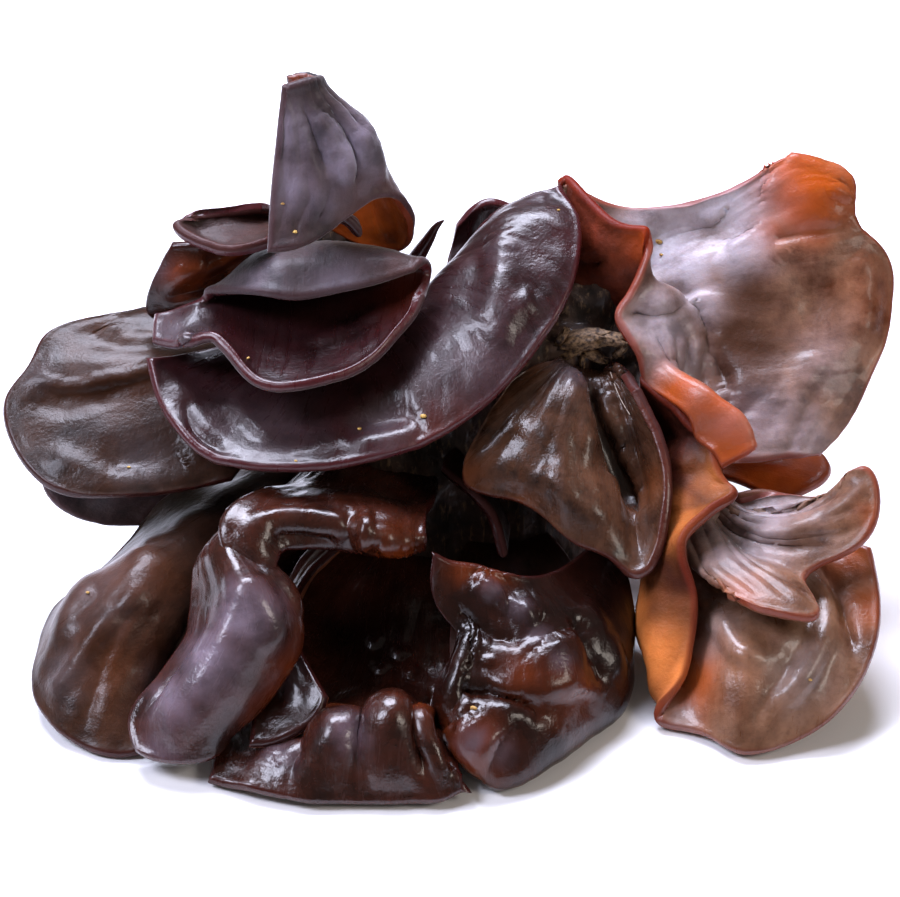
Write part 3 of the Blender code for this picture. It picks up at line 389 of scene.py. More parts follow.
# A fold is its width, its height on the wet side and its path of across and along places.
EAR_FOLDS = {
    "horn_ear": (
        (1.2, 1, 0.17, 0.12, 0.21, 0.4, 0.25, 0.65, 0.24, 0.9),
        (1.3, 1.2, 0.3, 0.15, 0.33, 0.4, 0.36, 0.65, 0.34, 0.85),
        (1.2, -0.7, 0.1, 0.1, 0.11, 0.45, 0.12, 0.8), (1.1, -0.9, 0.27, 0.2, 0.29, 0.5, 0.3, 0.75),
        (1.5, -1.2, 0.42, 0.4, 0.44, 0.7, 0.42, 0.92), (1.4, 0.8, 0.7, 0.5, 0.72, 0.75, 0.73, 0.95),
    ),
    "clam_ear": (
        (1, 0.9, 0.85, 0.75, 0.88, 0.88, 0.86, 0.98), (1.5, 0.7, 0.15, 0.66, 0.3, 0.72, 0.45, 0.75),
    ),
    "centre_shelf_ear": (
        (2.6, 1.3, 0.83, 0.6, 0.74, 0.64, 0.66, 0.7, 0.6, 0.74), (2, 0.9, 0.72, 0.84, 0.66, 0.8, 0.6, 0.79),
        (3.5, -1.1, 0.33, 0.8, 0.41, 0.8, 0.47, 0.83), (2, 0.8, 0.36, 0.9, 0.46, 0.92),
        (1, -0.6, 0.08, 0.9, 0.13, 0.95, 0.2, 0.96), (2.5, 0.8, 0.12, 0.72, 0.2, 0.78, 0.24, 0.85),
        (2.2, 1, 0.95, 0.55, 0.93, 0.75, 0.94, 0.95),
    ),
    "left_dish_ear": (
        (1, 0.7, 0.36, 0.98, 0.4, 0.82, 0.37, 0.62, 0.3, 0.5), (2, -0.5, 0.43, 0.96, 0.47, 0.8, 0.44, 0.62),
        (3.5, -1, 0.62, 0.82, 0.7, 0.72, 0.78, 0.66), (2.2, 0.7, 0.55, 0.9, 0.66, 0.88, 0.8, 0.88),
        (2, 0.8, 0.15, 0.9, 0.2, 0.75, 0.18, 0.6),
    ),
    "lower_left_ear": (
        (1.6, 0.8, 0.6, 0.7, 0.64, 0.85, 0.66, 0.98), (1.2, -0.7, 0.68, 0.72, 0.71, 0.86, 0.74, 0.98),
        (1.6, -1.4, 0.84, 0.55, 0.88, 0.75, 0.9, 0.95), (3, 0.8, 0.35, 0.82, 0.5, 0.86, 0.6, 0.9),
        (2.5, 0.9, 0.45, 0.62, 0.6, 0.66, 0.7, 0.7), (1.6, -0.6, 0.52, 0.74, 0.55, 0.86),
    ),
    "rolled_tongue_ear": (
        (1.3, 0.8, 0.05, 0.9, 0.2, 0.87, 0.34, 0.86, 0.46, 0.86),
        (0.8, 1.2, 0.21, 0.76, 0.19, 0.88, 0.2, 0.99), (0.9, -0.8, 0.24, 0.82, 0.235, 0.97),
        (1.2, -0.9, 0.42, 0.94, 0.33, 0.94, 0.25, 0.945), (1.3, 0.9, 0.16, 0.93, 0.1, 0.95, 0.05, 0.96),
        (1.2, -0.8, 0.92, 0.68, 0.93, 0.8, 0.93, 0.92), (2.5, 1, 0.8, 0.62, 0.76, 0.7, 0.75, 0.8),
        (1.2, 0.8, 0.7, 0.6, 0.67, 0.68, 0.66, 0.76),
    ),
    "front_lip_ear": (
        (3, 1.6, 0.66, 0.52, 0.65, 0.72, 0.66, 0.9), (1.1, -2.2, 0.77, 0.48, 0.77, 0.7, 0.79, 0.97),
        (1.3, 1.5, 0.84, 0.52, 0.83, 0.75, 0.84, 0.97), (1.2, -1, 0.91, 0.6, 0.9, 0.8, 0.92, 0.95),
        (1.2, -1.3, 0.52, 0.58, 0.53, 0.8, 0.55, 0.97), (2.6, 1.2, 0.42, 0.58, 0.42, 0.78, 0.45, 0.92),
        (1.2, -1, 0.3, 0.6, 0.32, 0.8, 0.31, 0.97), (2.2, 1, 0.18, 0.68, 0.2, 0.85, 0.22, 0.95),
        (0.8, 0.7, 0.58, 0.68, 0.65, 0.64, 0.72, 0.7), (0.8, 0.6, 0.36, 0.72, 0.43, 0.68, 0.5, 0.74),
        (0.6, 0.6, 0.48, 0.44, 0.53, 0.47, 0.57, 0.43), (0.6, 0.6, 0.56, 0.39, 0.6, 0.42, 0.65, 0.39),
        (0.6, 0.6, 0.44, 0.38, 0.47, 0.4, 0.5, 0.36), (0.6, 0.6, 0.62, 0.46, 0.67, 0.47, 0.7, 0.44),
    ),
    "small_folded_ear": (
        (1.3, 0.8, 0.3, 0.6, 0.34, 0.78, 0.3, 0.95), (1.2, -0.8, 0.55, 0.55, 0.58, 0.75, 0.55, 0.95),
    ),
    "front_right_ear": (
        (1.7, 1.7, 0.24, 0.98, 0.36, 0.955, 0.48, 0.92, 0.56, 0.885),
        (1.3, -1.2, 0.1, 0.92, 0.3, 0.885, 0.5, 0.855), (4.5, 1.8, 0.56, 0.86, 0.6, 0.8, 0.58, 0.73),
        (1.1, -1.9, 0.1, 0.68, 0.2, 0.765, 0.32, 0.78, 0.45, 0.755, 0.56, 0.7),
        (3.6, 1.7, 0.18, 0.71, 0.26, 0.69, 0.34, 0.68), (1.4, -1.3, 0.72, 0.9, 0.7, 0.82, 0.72, 0.72),
        (1.8, 0.9, 0.8, 0.92, 0.78, 0.82, 0.8, 0.7), (0.8, 0.7, 0.22, 0.86, 0.28, 0.83, 0.36, 0.835),
        (1.4, 0.9, 0.05, 0.84, 0.12, 0.79, 0.2, 0.8),
    ),
    "centre_right_ear": (
        (3, -4.6, 0.46, 0.1, 0.56, 0.33, 0.63, 0.5, 0.66, 0.64, 0.58, 0.73),
        (2.3, 1.4, 0.34, 0.2, 0.45, 0.45, 0.53, 0.65),
        (1.5, 1.9, 0.6, 0.15, 0.7, 0.45, 0.74, 0.65, 0.71, 0.88),
        (1.6, 0.6, 0.35, 0.78, 0.47, 0.84, 0.56, 0.9), (2.6, -0.6, 0.2, 0.7, 0.3, 0.72, 0.4, 0.78),
    ),
    "right_top_ear": (
        (1.5, -1.9, 0.3, 0.34, 0.4, 0.3, 0.5, 0.23, 0.6, 0.33, 0.7, 0.42, 0.82, 0.5),
        (2.2, 1.2, 0.42, 0.12, 0.52, 0.12, 0.62, 0.18, 0.72, 0.26),
        (0.8, -0.9, 0.555, 0.02, 0.545, 0.12, 0.53, 0.2), (3.5, -1.4, 0.1, 0.62, 0.2, 0.64, 0.3, 0.62),
        (3.5, 1.3, 0.06, 0.78, 0.12, 0.84, 0.2, 0.88, 0.24, 0.94),
        (1.3, -1.1, 0.3, 0.7, 0.31, 0.82, 0.3, 0.99), (0.8, 0.8, 0.19, 0.92, 0.21, 0.98),
        (1, 0.6, 0.02, 0.86, 0.06, 0.9, 0.1, 0.96), (3, -0.8, 0.35, 0.72, 0.45, 0.66, 0.6, 0.66),
        (2.6, 0.8, 0.62, 0.74, 0.74, 0.72, 0.88, 0.7), (2, 0.7, 0.4, 0.9, 0.52, 0.88, 0.64, 0.9),
        (1.2, 1.1, 0.12, 0.2, 0.2, 0.16, 0.3, 0.12), (1.2, -1.1, 0.14, 0.32, 0.24, 0.28, 0.32, 0.22),
    ),
    "long_flap_ear": (
        (1.5, 1.4, 0.61, 0.5, 0.66, 0.66, 0.69, 0.77, 0.74, 0.81),
        (1.8, -0.9, 0.65, 0.5, 0.7, 0.64, 0.75, 0.72),
        (1.6, 1.3, 0.74, 0.93, 0.79, 0.85, 0.85, 0.78, 0.88, 0.7),
        (1.4, 1.1, 0.8, 0.6, 0.86, 0.66, 0.92, 0.63), (1.6, -0.9, 0.71, 0.95, 0.74, 0.86, 0.79, 0.77),
        (1.4, -1.2, 0.86, 0.95, 0.89, 0.85, 0.93, 0.78), (2, 1.2, 0.95, 0.9, 0.95, 0.75, 0.96, 0.6),
        (2, -0.7, 0.12, 0.5, 0.15, 0.75, 0.17, 0.95),
    ),
    "right_shelf_ear": (
        (2, 0.8, 0.3, 0.4, 0.4, 0.65, 0.42, 0.9), (1.6, -0.9, 0.55, 0.45, 0.58, 0.7, 0.6, 0.95),
    ),
    "top_dish_ear": ((1.6, 0.6, 0.35, 0.8, 0.55, 0.82, 0.75, 0.85),),
    "dark_curl_ear": ((1.4, 1, 0.3, 0.4, 0.35, 0.65, 0.3, 0.9), (1.4, -1, 0.6, 0.4, 0.62, 0.7, 0.6, 0.92),),
    "back_left_ear": (
        (2.2, 1.4, 0.3, 0.4, 0.33, 0.7, 0.28, 0.95), (2, -1.4, 0.6, 0.4, 0.63, 0.7, 0.6, 0.95),
    ),
    "back_right_ear": (
        (2.2, 1.4, 0.35, 0.4, 0.37, 0.7, 0.33, 0.95), (2.4, -1.3, 0.65, 0.4, 0.66, 0.7, 0.7, 0.95),
    ),
    "back_low_ear": (
        (2.4, 1.4, 0.25, 0.4, 0.27, 0.7, 0.24, 0.95), (2.2, -1.4, 0.5, 0.4, 0.52, 0.7, 0.5, 0.95),
        (2.4, 1.3, 0.75, 0.4, 0.74, 0.7, 0.77, 0.95),
    ),
}

# A nudge moves the sheet round a place by millimetres to the right, back and up.
EAR_NUDGES = {
    "front_lip_ear": (Nudge(1.0, 1.0, 6.0, (-3.5, 2.0, 1.2)),),
    "front_right_ear": (Nudge(0.0, 0.8, 5.0, (4.2, 1.0, 0.0)), Nudge(0.0, 1.0, 3.0, (1.0, 0.0, 1.0))),
    "lower_left_ear": (Nudge(0.0, 0.3, 7.0, (-3.0, 2.0, 4.0)), Nudge(0.0, 0.88, 5.5, (-1.5, 0.5, 3.0))),
    "left_under_ear": (Nudge(1.0, 0.5, 7.0, (5.0, 0.0, -2.0)), Nudge(0.0, 0.5, 7.0, (5.0, 0.0, -2.0))),
    "right_top_ear": (
        Nudge(0.12, 1.0, 4.0, (1.6, 0.0, 0.9)),
        Nudge(0.72, 0.0, 4.5, (-2.4, 3.2, -2.4)),
        Nudge(0.88, 0.0, 4.5, (-2.4, 3.2, -2.8)),
        Nudge(1.0, 0.0, 4.0, (-2.0, 2.5, -2.0)),
    ),
    "horn_ear": (Nudge(0.5, 0.45, 6.0, (1.6, 0.0, 0.8)),),
}

# Ribs run with the spokes where they count across, and against them where they count along.
EAR_RIBS = {
    "horn_ear": (Ribs("across", (0.02, 0.5), (0.1, 1.0), 6, 0.28),),
    "right_top_ear": (
        Ribs("along", (0.1, 0.42), (0.58, 0.8), 5, 0.3),
        Ribs("along", (0.4, 0.9), (0.75, 1.0), 5, 0.15),
    ),
    "right_shelf_ear": (Ribs("across", (0.1, 0.95), (0.35, 1.0), 13, 0.2),),
    "long_flap_ear": (Ribs("across", (0.66, 0.98), (0.6, 1.0), 5, 0.12),),
    "centre_right_ear": (Ribs("across", (0.15, 0.6), (0.3, 0.9), 5, 0.12),),
    "lower_left_ear": (Ribs("across", (0.5, 0.8), (0.6, 1.0), 4, 0.12),),
}

# Painted light and shade laid into the colour, by kind: the sheen of the sky on the wet skin, the orange of
# light shining through thin flesh, and shade in hollows and pockets. Each spot is across, along, radius in
# millimetres and strength.
EAR_PAINTED_LIGHT = {
    "right_top_ear": {
        "film": (
            (0.03, 0.62, 8, 0.85), (0.15, 0.5, 8, 0.95), (0.3, 0.46, 6, 0.8), (0.3, 0.6, 6, 0.75),
            (0.22, 0.68, 4, 0.7), (0.45, 0.3, 5, 0.6), (0.58, 0.14, 6, 0.6), (0.68, 0.28, 5, 0.6),
            (0.88, 0.6, 8, 0.5), (0.82, 0.4, 4, 0.5), (0.95, 0.85, 6, 0.35), (0.7, 0.78, 6, 0.2),
        ),
        "glow": (
            (0.06, 0.88, 6, 1.2), (0.2, 0.88, 8, 1.3), (0.27, 0.75, 4, 0.7), (0.15, 0.98, 5, 0.7),
            (0.55, 0.95, 9, 0.22), (0.38, 0, 4, 0.5), (0.75, 0.02, 5, 1.5), (0.85, 0.05, 6, 1.6),
            (0.97, 0.05, 6, 1.6),
        ),
        "dark": (
            (0.15, 0.3, 6, 0.5), (0.25, 0.2, 5, 0.4), (0.48, 0.46, 6, 0.9), (0.6, 0.48, 7, 1),
            (0.68, 0.44, 6, 0.9), (0.86, 0.03, 5, 0.35),
        ),
    },
    "centre_right_ear": {
        "film": ((0.33, 0.3, 3.5, 0.5),),
        "glow": ((0.2, 0.97, 3.5, 0.5), (0.32, 1, 3, 0.35), (0.78, 0.85, 4, 0.3),),
        "dark": (
            (0.31, 0.87, 0.8, 0.9), (0.55, 0.3, 4.5, 0.95), (0.62, 0.48, 4, 0.95), (0.65, 0.6, 3.5, 0.95),
            (0.7, 0.68, 3, 0.85), (0.5, 0.15, 4, 0.8), (0.78, 0.5, 5, 0.5), (0.8, 0.8, 5, 0.45),
        ),
    },
    "long_flap_ear": {
        "film": ((0.66, 0.72, 4, 0.6), (0.78, 0.86, 5, 0.6), (0.86, 0.7, 4, 0.6), (0.6, 0.98, 4, 0.5),),
        "glow": (
            (0.2, 0.97, 4.5, 0.5), (0.3, 0.9, 4.5, 0.6), (0.38, 0.6, 5, 0.85), (0.42, 0.75, 6, 1),
            (0.46, 0.9, 6, 1), (0.5, 1, 6, 0.95), (0.95, 0.72, 5, 0.9), (0.99, 0.9, 6, 0.95),
            (0.93, 0.97, 4, 0.6), (0.9, 0.75, 3, 0.4),
        ),
        "dark": ((0.1, 0.55, 8, 0.75), (0.25, 0.5, 7, 0.75), (0.3, 0.7, 4, 0.55),),
    },
    "right_shelf_ear": {
        "film": ((0.3, 0.7, 7, 0.5), (0.6, 0.75, 7, 0.5),),
        "glow": ((0.85, 0.98, 4, 0.5), (0.45, 0.99, 3, 0.4),),
    },
    "dark_curl_ear": {
        "film": ((0.3, 1, 3, 0.6),),
        "glow": ((0.2, 0.6, 4, 0.9), (0.45, 0.7, 4, 0.8), (0.35, 0.85, 3, 0.7),),
        "dark": ((0.7, 0.6, 5, 0.7),),
    },
    "lower_left_ear": {
        "film": ((0.45, 0.8, 9, 0.35), (0.63, 0.9, 4, 0.45), (0.88, 0.8, 3.5, 0.4),),
        "glow": ((0.4, 0.82, 9, 0.18), (0.75, 0.8, 7, 0.18), (0.6, 0.65, 6, 0.18),),
        "dark": ((0.4, 0.52, 9, 0.6),),
    },
    "rolled_tongue_ear": {
        "film": (
            (0.8, 0.72, 4.5, 0.85), (0.84, 0.8, 5.5, 0.95), (0.87, 0.88, 4.5, 0.7), (0.9, 0.98, 4, 0.35),
        ),
        "glow": ((0.7, 0.82, 5, 0.35), (0.66, 0.9, 5, 0.35), (0.12, 0.96, 3.5, 0.5),),
    },
    "front_right_ear": {
        "film": (
            (0.26, 0.685, 2.2, 0.8), (0.36, 0.69, 2.2, 0.7), (0.35, 0.955, 1.6, 0.6),
            (0.48, 0.92, 1.8, 0.7), (0.53, 0.86, 1.8, 0.7), (0.57, 0.8, 1.6, 0.7),
        ),
        "glow": (
            (0.22, 0.66, 6, 0.5), (0.2, 1, 3, 0.7), (0.45, 1, 3, 0.6), (0.62, 0.74, 6, 0.4),
            (0.45, 0.8, 4, 0.3),
        ),
        "dark": (
            (0.08, 0.84, 4, 0.7), (0.2, 0.78, 4, 0.6), (0.7, 0.92, 7, 0.7), (0.8, 0.82, 8, 0.75),
            (0.8, 0.65, 8, 0.6),
        ),
    },
    "front_lip_ear": {
        "film": ((0.5, 0.85, 3, 0.4), (0.25, 0.9, 3, 0.3),),
        "glow": ((0.82, 0.75, 3, 0.4), (0.45, 0.7, 4, 0.25),),
        "dark": ((0.5, 0.35, 14, 0.7),),
    },
    "small_folded_ear": {
        "film": ((0.35, 0.85, 2.5, 0.4),),
    },
    "centre_shelf_ear": {
        "film": (
            (0.41, 0.82, 4, 0.5), (0.22, 0.84, 9, 0.3), (0.55, 0.72, 9, 0.25), (0.75, 0.66, 3, 0.3),
            (0.97, 0.85, 5, 0.35),
        ),
        "glow": ((0.5, 1, 6, 0.15),),
    },
    "left_dish_ear": {
        "film": ((0.68, 0.74, 5, 0.45), (0.35, 0.95, 3, 0.4),),
        "glow": ((0.4, 0.7, 8, 0.15),),
        "dark": ((0.5, 0.75, 16, 0.5),),
    },
    "horn_ear": {
        "film": ((0.1, 0.3, 5, 0.5), (0.08, 0.6, 4, 0.5), (0.33, 0.55, 5, 0.75), (0.2, 0.75, 3, 0.4),),
        "glow": ((0.85, 0.8, 9, 0.5),),
        "dark": ((0.17, 0.85, 4, 0.3), (0.75, 0, 5, 0.8),),
    },
    "small_dome_ear": {
        "glow": ((0.4, 0.8, 9, 0.8),),
    },
    "top_dish_ear": {
        "film": ((0.5, 0.75, 8, 0.15), (0.3, 0.9, 6, 0.1),),
    },
    "clam_ear": {
        "film": ((0.93, 0.85, 5, 0.9), (0.3, 0.06, 5, 0.4), (0.6, 0.04, 5, 0.35),),
        "glow": ((0.1, 0.6, 6, 0.25),),
        "dark": ((0.5, 0.5, 11.5, 0.9),),
    },
}

# ear, across, along, side of the sheet, size in millimetres
CRUMBS = (
    ("centre_shelf_ear", 0.47, 0.86, -1, 1.1),
    ("centre_shelf_ear", 0.37, 0.83, -1, 0.7),
    ("centre_shelf_ear", 0.29, 0.96, -1, 0.6),
    ("centre_shelf_ear", 0.87, 0.9, -1, 0.5),
    ("front_right_ear", 0.27, 0.74, 1, 1.2),
    ("right_top_ear", 0.13, 0.5, 1, 1.2),
    ("right_top_ear", 0.2, 0.47, 1, 0.7),
    ("horn_ear", 0.12, 0.9, -1, 0.8),
    ("horn_ear", 0.05, 0.7, -1, 0.6),
    ("left_dish_ear", 0.35, 0.6, -1, 0.7),
    ("left_dish_ear", 0.7, 0.8, -1, 0.6),
    ("lower_left_ear", 0.5, 0.8, -1, 0.7),
    ("long_flap_ear", 0.78, 0.88, -1, 0.6),
    ("clam_ear", 0.6, 0.9, 1, 0.6),
)

# Frayed chips of bark caught between the ears: place, length and turn.
BARK_CHIPS = (
    ((22.0, 9.5, 43.6), 9.0, 0.15),
    ((27.0, 9.5, 43.8), 6.0, -0.2),
    ((20.0, 8.5, 41.8), 5.0, 0.5),
    ((24.0, 8.5, 41.2), 5.0, -0.5),
    ((18.5, 9.0, 44.5), 4.0, 1.1),
    ((28.5, 9.0, 42.0), 4.0, 0.9),
    ((22.0, 8.0, 40.2), 3.0, 1.6),
)

# Strands: points in millimetres, with the half thickness at each.
TWIG_TIP = (
    ((-7.0, 20.5, 50.0), 1.6), ((-5.0, 20.2, 54.0), 1.3), ((-3.2, 20.0, 57.5), 0.9),
    ((-1.9, 19.8, 59.8), 0.5), ((-1.0, 19.8, 60.6), 0.15),
)

# name, place and size in metres, power in watts, key of its colour
STUDIO_LIGHTS = (
    ("overhead_softbox", (-0.08, 0.27, 0.56), (0.42, 0.24), 8.5, "cool_light"),
    ("left_fill", (-0.42, -0.12, 0.52), (0.2, 0.25), 3.6, "cool_light"),
    ("right_fill", (0.5, -0.3, 0.45), (0.2, 0.2), 1.2, "warm_light"),
)

# Fine thread across the fan, by places on its wet side, and its half thickness.
THREAD_EAR = "centre_right_ear"
THREAD_PLACES = ((0.86, 0.3), (0.79, 0.45), (0.82, 0.56))
THREAD_HALF = 0.08

SHEETS = {}


def linear_colour(code):
    """An sRGB hex code as a linear colour."""
    channels = [int(code[i:i + 2], 16) / 255 for i in (0, 2, 4)]
    linear = [c / 12.92 if c <= 0.04045 else ((c + 0.055) / 1.055) ** 2.4 for c in channels]
    return (*linear, 1.0)


def world(points):
    """Places in the tables' millimetres as the scene's metres."""
    return (np.asarray(points, float) - CUT_CENTRE) * MM


def spread_along(lengths):
    """Stations 0..1 at the ends of steps with these lengths."""
    stations = np.concatenate(([0.0], np.cumsum(lengths)))
    return stations / stations[-1]


def curve_at(points, stations, places):
    """The natural cubic curve through points at stations 0..1, taken at any places."""
    points = np.asarray(points, float)
    last = len(points) - 1
    step = np.diff(stations)
    system = np.eye(last + 1)
    bend = np.zeros_like(points)
    for i in range(1, last):
        system[i, i - 1:i + 2] = (step[i - 1], 2 * (step[i - 1] + step[i]), step[i])
        bend[i] = 6 * ((points[i + 1] - points[i]) / step[i] - (points[i] - points[i - 1]) / step[i - 1])
    curvature = np.linalg.solve(system, bend)
    piece = np.clip(np.searchsorted(stations, places, side="right") - 1, 0, last - 1)
    a = ((stations[piece + 1] - places) / step[piece])[:, None]
    b = 1 - a
    lift = ((a ** 3 - a) * curvature[piece] + (b ** 3 - b) * curvature[piece + 1]) * step[piece][:, None] ** 2 / 6
    return a * points[piece] + b * points[piece + 1] + lift


def lofted(root, spokes, along_places, across_places):
    """Points of an ear's middle surface, one row for each place along and one column for each across."""
    spokes = [np.reshape(spoke, (-1, 3)).astype(float) for spoke in spokes]
    if root is not None:
        starts = np.array([spoke[0] for spoke in spokes])
        spread = max(ROOT_SPREAD, LEAST_ROOT_WIDTH / np.linalg.norm(starts[-1] - starts[0]))
        stalk = np.array(root, float) + spread * (starts - starts.mean(axis=0))
        spokes = [np.vstack((start, spoke)) for start, spoke in zip(stalk, spokes)]
    stations = [spread_along(np.linalg.norm(np.diff(spoke, axis=0), axis=1)) for spoke in spokes]
    even = np.linspace(0, 1, EVEN_ROWS)
    coarse = np.array([curve_at(spoke, places, even) for spoke, places in zip(spokes, stations)])
    across_stations = spread_along(np.sqrt(np.linalg.norm(np.diff(coarse, axis=0), axis=2).mean(axis=1)))
    along = np.array([curve_at(spoke, places, along_places) for spoke, places in zip(spokes, stations)])
    columns = curve_at(along.reshape(len(spokes), -1), across_stations, across_places)
    return columns.reshape(len(across_places), len(along_places), 3).transpose(1, 0, 2)


def places_for(length, cell, free_start):
    """Places 0..1 with even cells in the middle and finer ones by the free edges."""
    edge = np.array(EDGE_STEPS) / length
    inner_start = edge[-1] if free_start else 0.0
    count = max(2, int(round((1 - edge[-1] - inner_start) * length / cell)))
    middle = np.linspace(inner_start, 1 - edge[-1], count + 1)
    first = edge[:-1] if free_start else []
    return np.concatenate((first, middle, (1 - edge[:-1])[::-1]))


def surface_normals(points):
    """Unit normals of a grid of points."""
    across = np.gradient(points, axis=1)
    along = np.gradient(points, axis=0)
    normals = np.cross(across, along)
    length = np.linalg.norm(normals, axis=2, keepdims=True)
    return normals / np.maximum(length, TINY)


def run_from(points, axis, backward):
    """The length of surface between each point and one edge of its grid."""
    moved = np.moveaxis(points, axis, 0)
    if backward:
        moved = moved[::-1]
    steps = np.linalg.norm(np.diff(moved, axis=0), axis=2)
    run = np.concatenate((np.zeros((1, steps.shape[1])), np.cumsum(steps, axis=0)))
    if backward:
        run = run[::-1]
    return np.moveaxis(run, 0, axis)


def grain(points, size, seed=0):
    """Smooth noise of about -1 to 1 whose lumps are about size across."""
    shift = Vector((3.7, 9.1, 5.3)) * (seed + 1)
    scaled = (points / size).reshape(-1, 3)
    values = [noise.noise(Vector(point) + shift) for point in scaled]
    return np.array(values).reshape(points.shape[:-1])


def ease(values):
    """A soft step from 0 to 1."""
    values = np.clip(values, 0, 1)
    return values * values * (3 - 2 * values)


class EarSheet:
    """The middle surface of one ear, in millimetres, with what is measured on it."""

    def __init__(self, name, cell):
        root, spokes = EAR_FORMS[name]
        even = np.linspace(0, 1, EVEN_ROWS)
        coarse = lofted(root, spokes, even, even)
        length = np.linalg.norm(np.diff(coarse, axis=0), axis=2).sum(axis=0).mean()
        width = np.linalg.norm(np.diff(coarse, axis=1), axis=2).sum(axis=1)[EVEN_ROWS // 3:].mean()
        self.length, self.width = length, width
        self.along = places_for(length, cell, root is None)
        self.across = places_for(width, cell, True)
        self.free_root = root is None
        self.points = lofted(root, spokes, self.along, self.across)
        self.normals = surface_normals(self.points)

    def nearest(self, across, along):
        """The row and column nearest to a place."""
        return np.abs(self.along - along).argmin(), np.abs(self.across - across).argmin()

    def at(self, across, along):
        """The point nearest to a place."""
        return self.points[self.nearest(across, along)]

    def lift(self, offset):
        """Move every point along its normal."""
        self.points = self.points + self.normals * offset[..., None]
        self.normals = surface_normals(self.points)

    def edge_distance(self):
        """How far each point is from the nearest free edge."""
        runs = [run_from(self.points, 0, True), run_from(self.points, 1, False), run_from(self.points, 1, True)]
        if self.free_root:
            runs.append(run_from(self.points, 0, False))
        return np.minimum.reduce(runs)

    def path_distance(self, path):
        """How far each point is from a path of (across, along) places, and where along it."""
        places = np.reshape(path, (-1, 2)).astype(float)
        share = np.linspace(0, 1, PATH_STEPS * (len(places) - 1) + 1)
        stations = np.linspace(0, 1, len(places))
        dense = np.array([self.at(np.interp(s, stations, places[:, 0]), np.interp(s, stations, places[:, 1]))
                          for s in share])
        best = np.full(self.points.shape[:2], np.inf)
        where = np.zeros_like(best)
        for i in range(len(dense) - 1):
            start, leg = dense[i], dense[i + 1] - dense[i]
            reach = max(leg @ leg, TINY)
            t = np.clip((self.points - start) @ leg / reach, 0, 1)
            gap = np.linalg.norm(self.points - start - t[..., None] * leg, axis=2)
            closer = gap < best
            best = np.where(closer, gap, best)
            where = np.where(closer, share[i] + t * (share[i + 1] - share[i]), where)
        return best, where

    def fold(self, width, height, path):
        """Raise a soft ridge along a path, fading at both ends."""
        distance, where = self.path_distance(path)
        ends = ease(where / FOLD_FADE) * ease((1 - where) / FOLD_FADE)
        self.lift(height * ends * np.exp(-(distance / width) ** 2))

    def nudge(self, nudge):
        """Pull the sheet round one place by a move."""
        distance = np.linalg.norm(self.points - self.at(nudge.across, nudge.along), axis=2)
        pull = np.exp(-(distance / nudge.radius) ** 2)
        self.points = self.points + pull[..., None] * np.array(nudge.move)
        self.normals = surface_normals(self.points)

    def rib(self, ribs):
        """Raise swaying ribs inside a window of the sheet."""
        places = self.across[None, :], self.along[:, None]
        counted, other = places if ribs.counts == "across" else places[::-1]
        (low, high), (start, end) = ribs.counted, ribs.reach
        share = (counted - low) / (high - low)
        reach = (other - start) / (end - start)
        window = ease(share / RIB_FADE) * ease((1 - share) / RIB_FADE)
        window = window * ease(reach / RIB_START) * ease((1 - reach) / RIB_END)
        sway = 0.5 * grain(self.points, RIB_SWAY_LUMP, RIB_SEED)
        self.lift(ribs.height * np.sin(2 * np.pi * (ribs.count * share + sway)) * window)


def shape_sheet(name, sizes):
    """The ear's middle surface with its folds, ribs, ripples and curled rim."""
    skin = EAR_SKINS[name]
    sheet = EarSheet(name, sizes.cell / MM)
    for nudge in EAR_NUDGES.get(name, ()):
        sheet.nudge(nudge)
    for width, height, *path in EAR_FOLDS.get(name, ()):
        sheet.fold(width, skin.wet_side * height, path)
    for ribs in EAR_RIBS.get(name, ()):
        sheet.rib(ribs)
    edge = sheet.edge_distance()
    broad, narrow = RIPPLE_LUMPS
    ripple = skin.ripple * sizes.ripple * (
        grain(sheet.points, broad, RIPPLE_SEED) + 0.45 * grain(sheet.points, narrow, FINE_RIPPLE_SEED))
    stretched = np.stack(np.broadcast_arrays(
        sheet.across[None, :] * sheet.width / CRINKLE_WIDTH,
        sheet.along[:, None] * sheet.length / CRINKLE_LENGTH, edge * 0), axis=2)
    crinkle = skin.crinkle * sizes.crinkle * (
        grain(stretched, 1.0, CRINKLE_SEED) + 0.5 * grain(sheet.points, CRINKLE_LUMP, FINE_CRINKLE_SEED))
    rim_wave = sizes.rim_wave / MM * grain(sheet.points, RIM_WAVE_LUMP, RIM_SEED) * np.exp(-edge / RIM_WAVE_REACH)
    curl = -skin.wet_side * skin.curl * np.exp(-(edge / CURL_REACH) ** 2)
    rooted = 1.0 if sheet.free_root else ease(sheet.along[:, None] * sheet.length / ROOT_BLEND)
    sheet.lift((ripple + crinkle) * rooted + (rim_wave + curl) * rooted)
    return sheet


def half_thickness(edge, sizes):
    """Half the flesh's thickness: round at the rim, with a bead just inside it."""
    radius = sizes.thickness / MM / 2
    round_rim = np.sqrt(np.clip(1 - (1 - np.clip(edge / radius, 0, 1)) ** 2, 0, 1))
    bead = sizes.bead / MM * np.exp(-((edge - BEAD_PLACE) / BEAD_WIDTH) ** 2)
    return np.maximum(radius * round_rim + bead * round_rim, THINNEST_EDGE / 2)


def new_primitive(name, add, **settings):
    """A primitive added on its own, named, and left as the only one selected."""
    bpy.ops.object.select_all(action="DESELECT")
    add(**settings)
    built = bpy.context.active_object
    built.name = name
    built.data.name = name
    return built


def set_points(mesh, points):
    """Put the mesh's vertices at points in metres."""
    mesh.vertices.foreach_set("co", np.asarray(points, np.float32).ravel())
    mesh.update()


def paint(mesh, name, values):
    """Add a number for each vertex as a named layer."""
    layer = mesh.attributes.new(name, "FLOAT", "POINT")
    layer.data.foreach_set("value", np.asarray(values, np.float32).ravel())


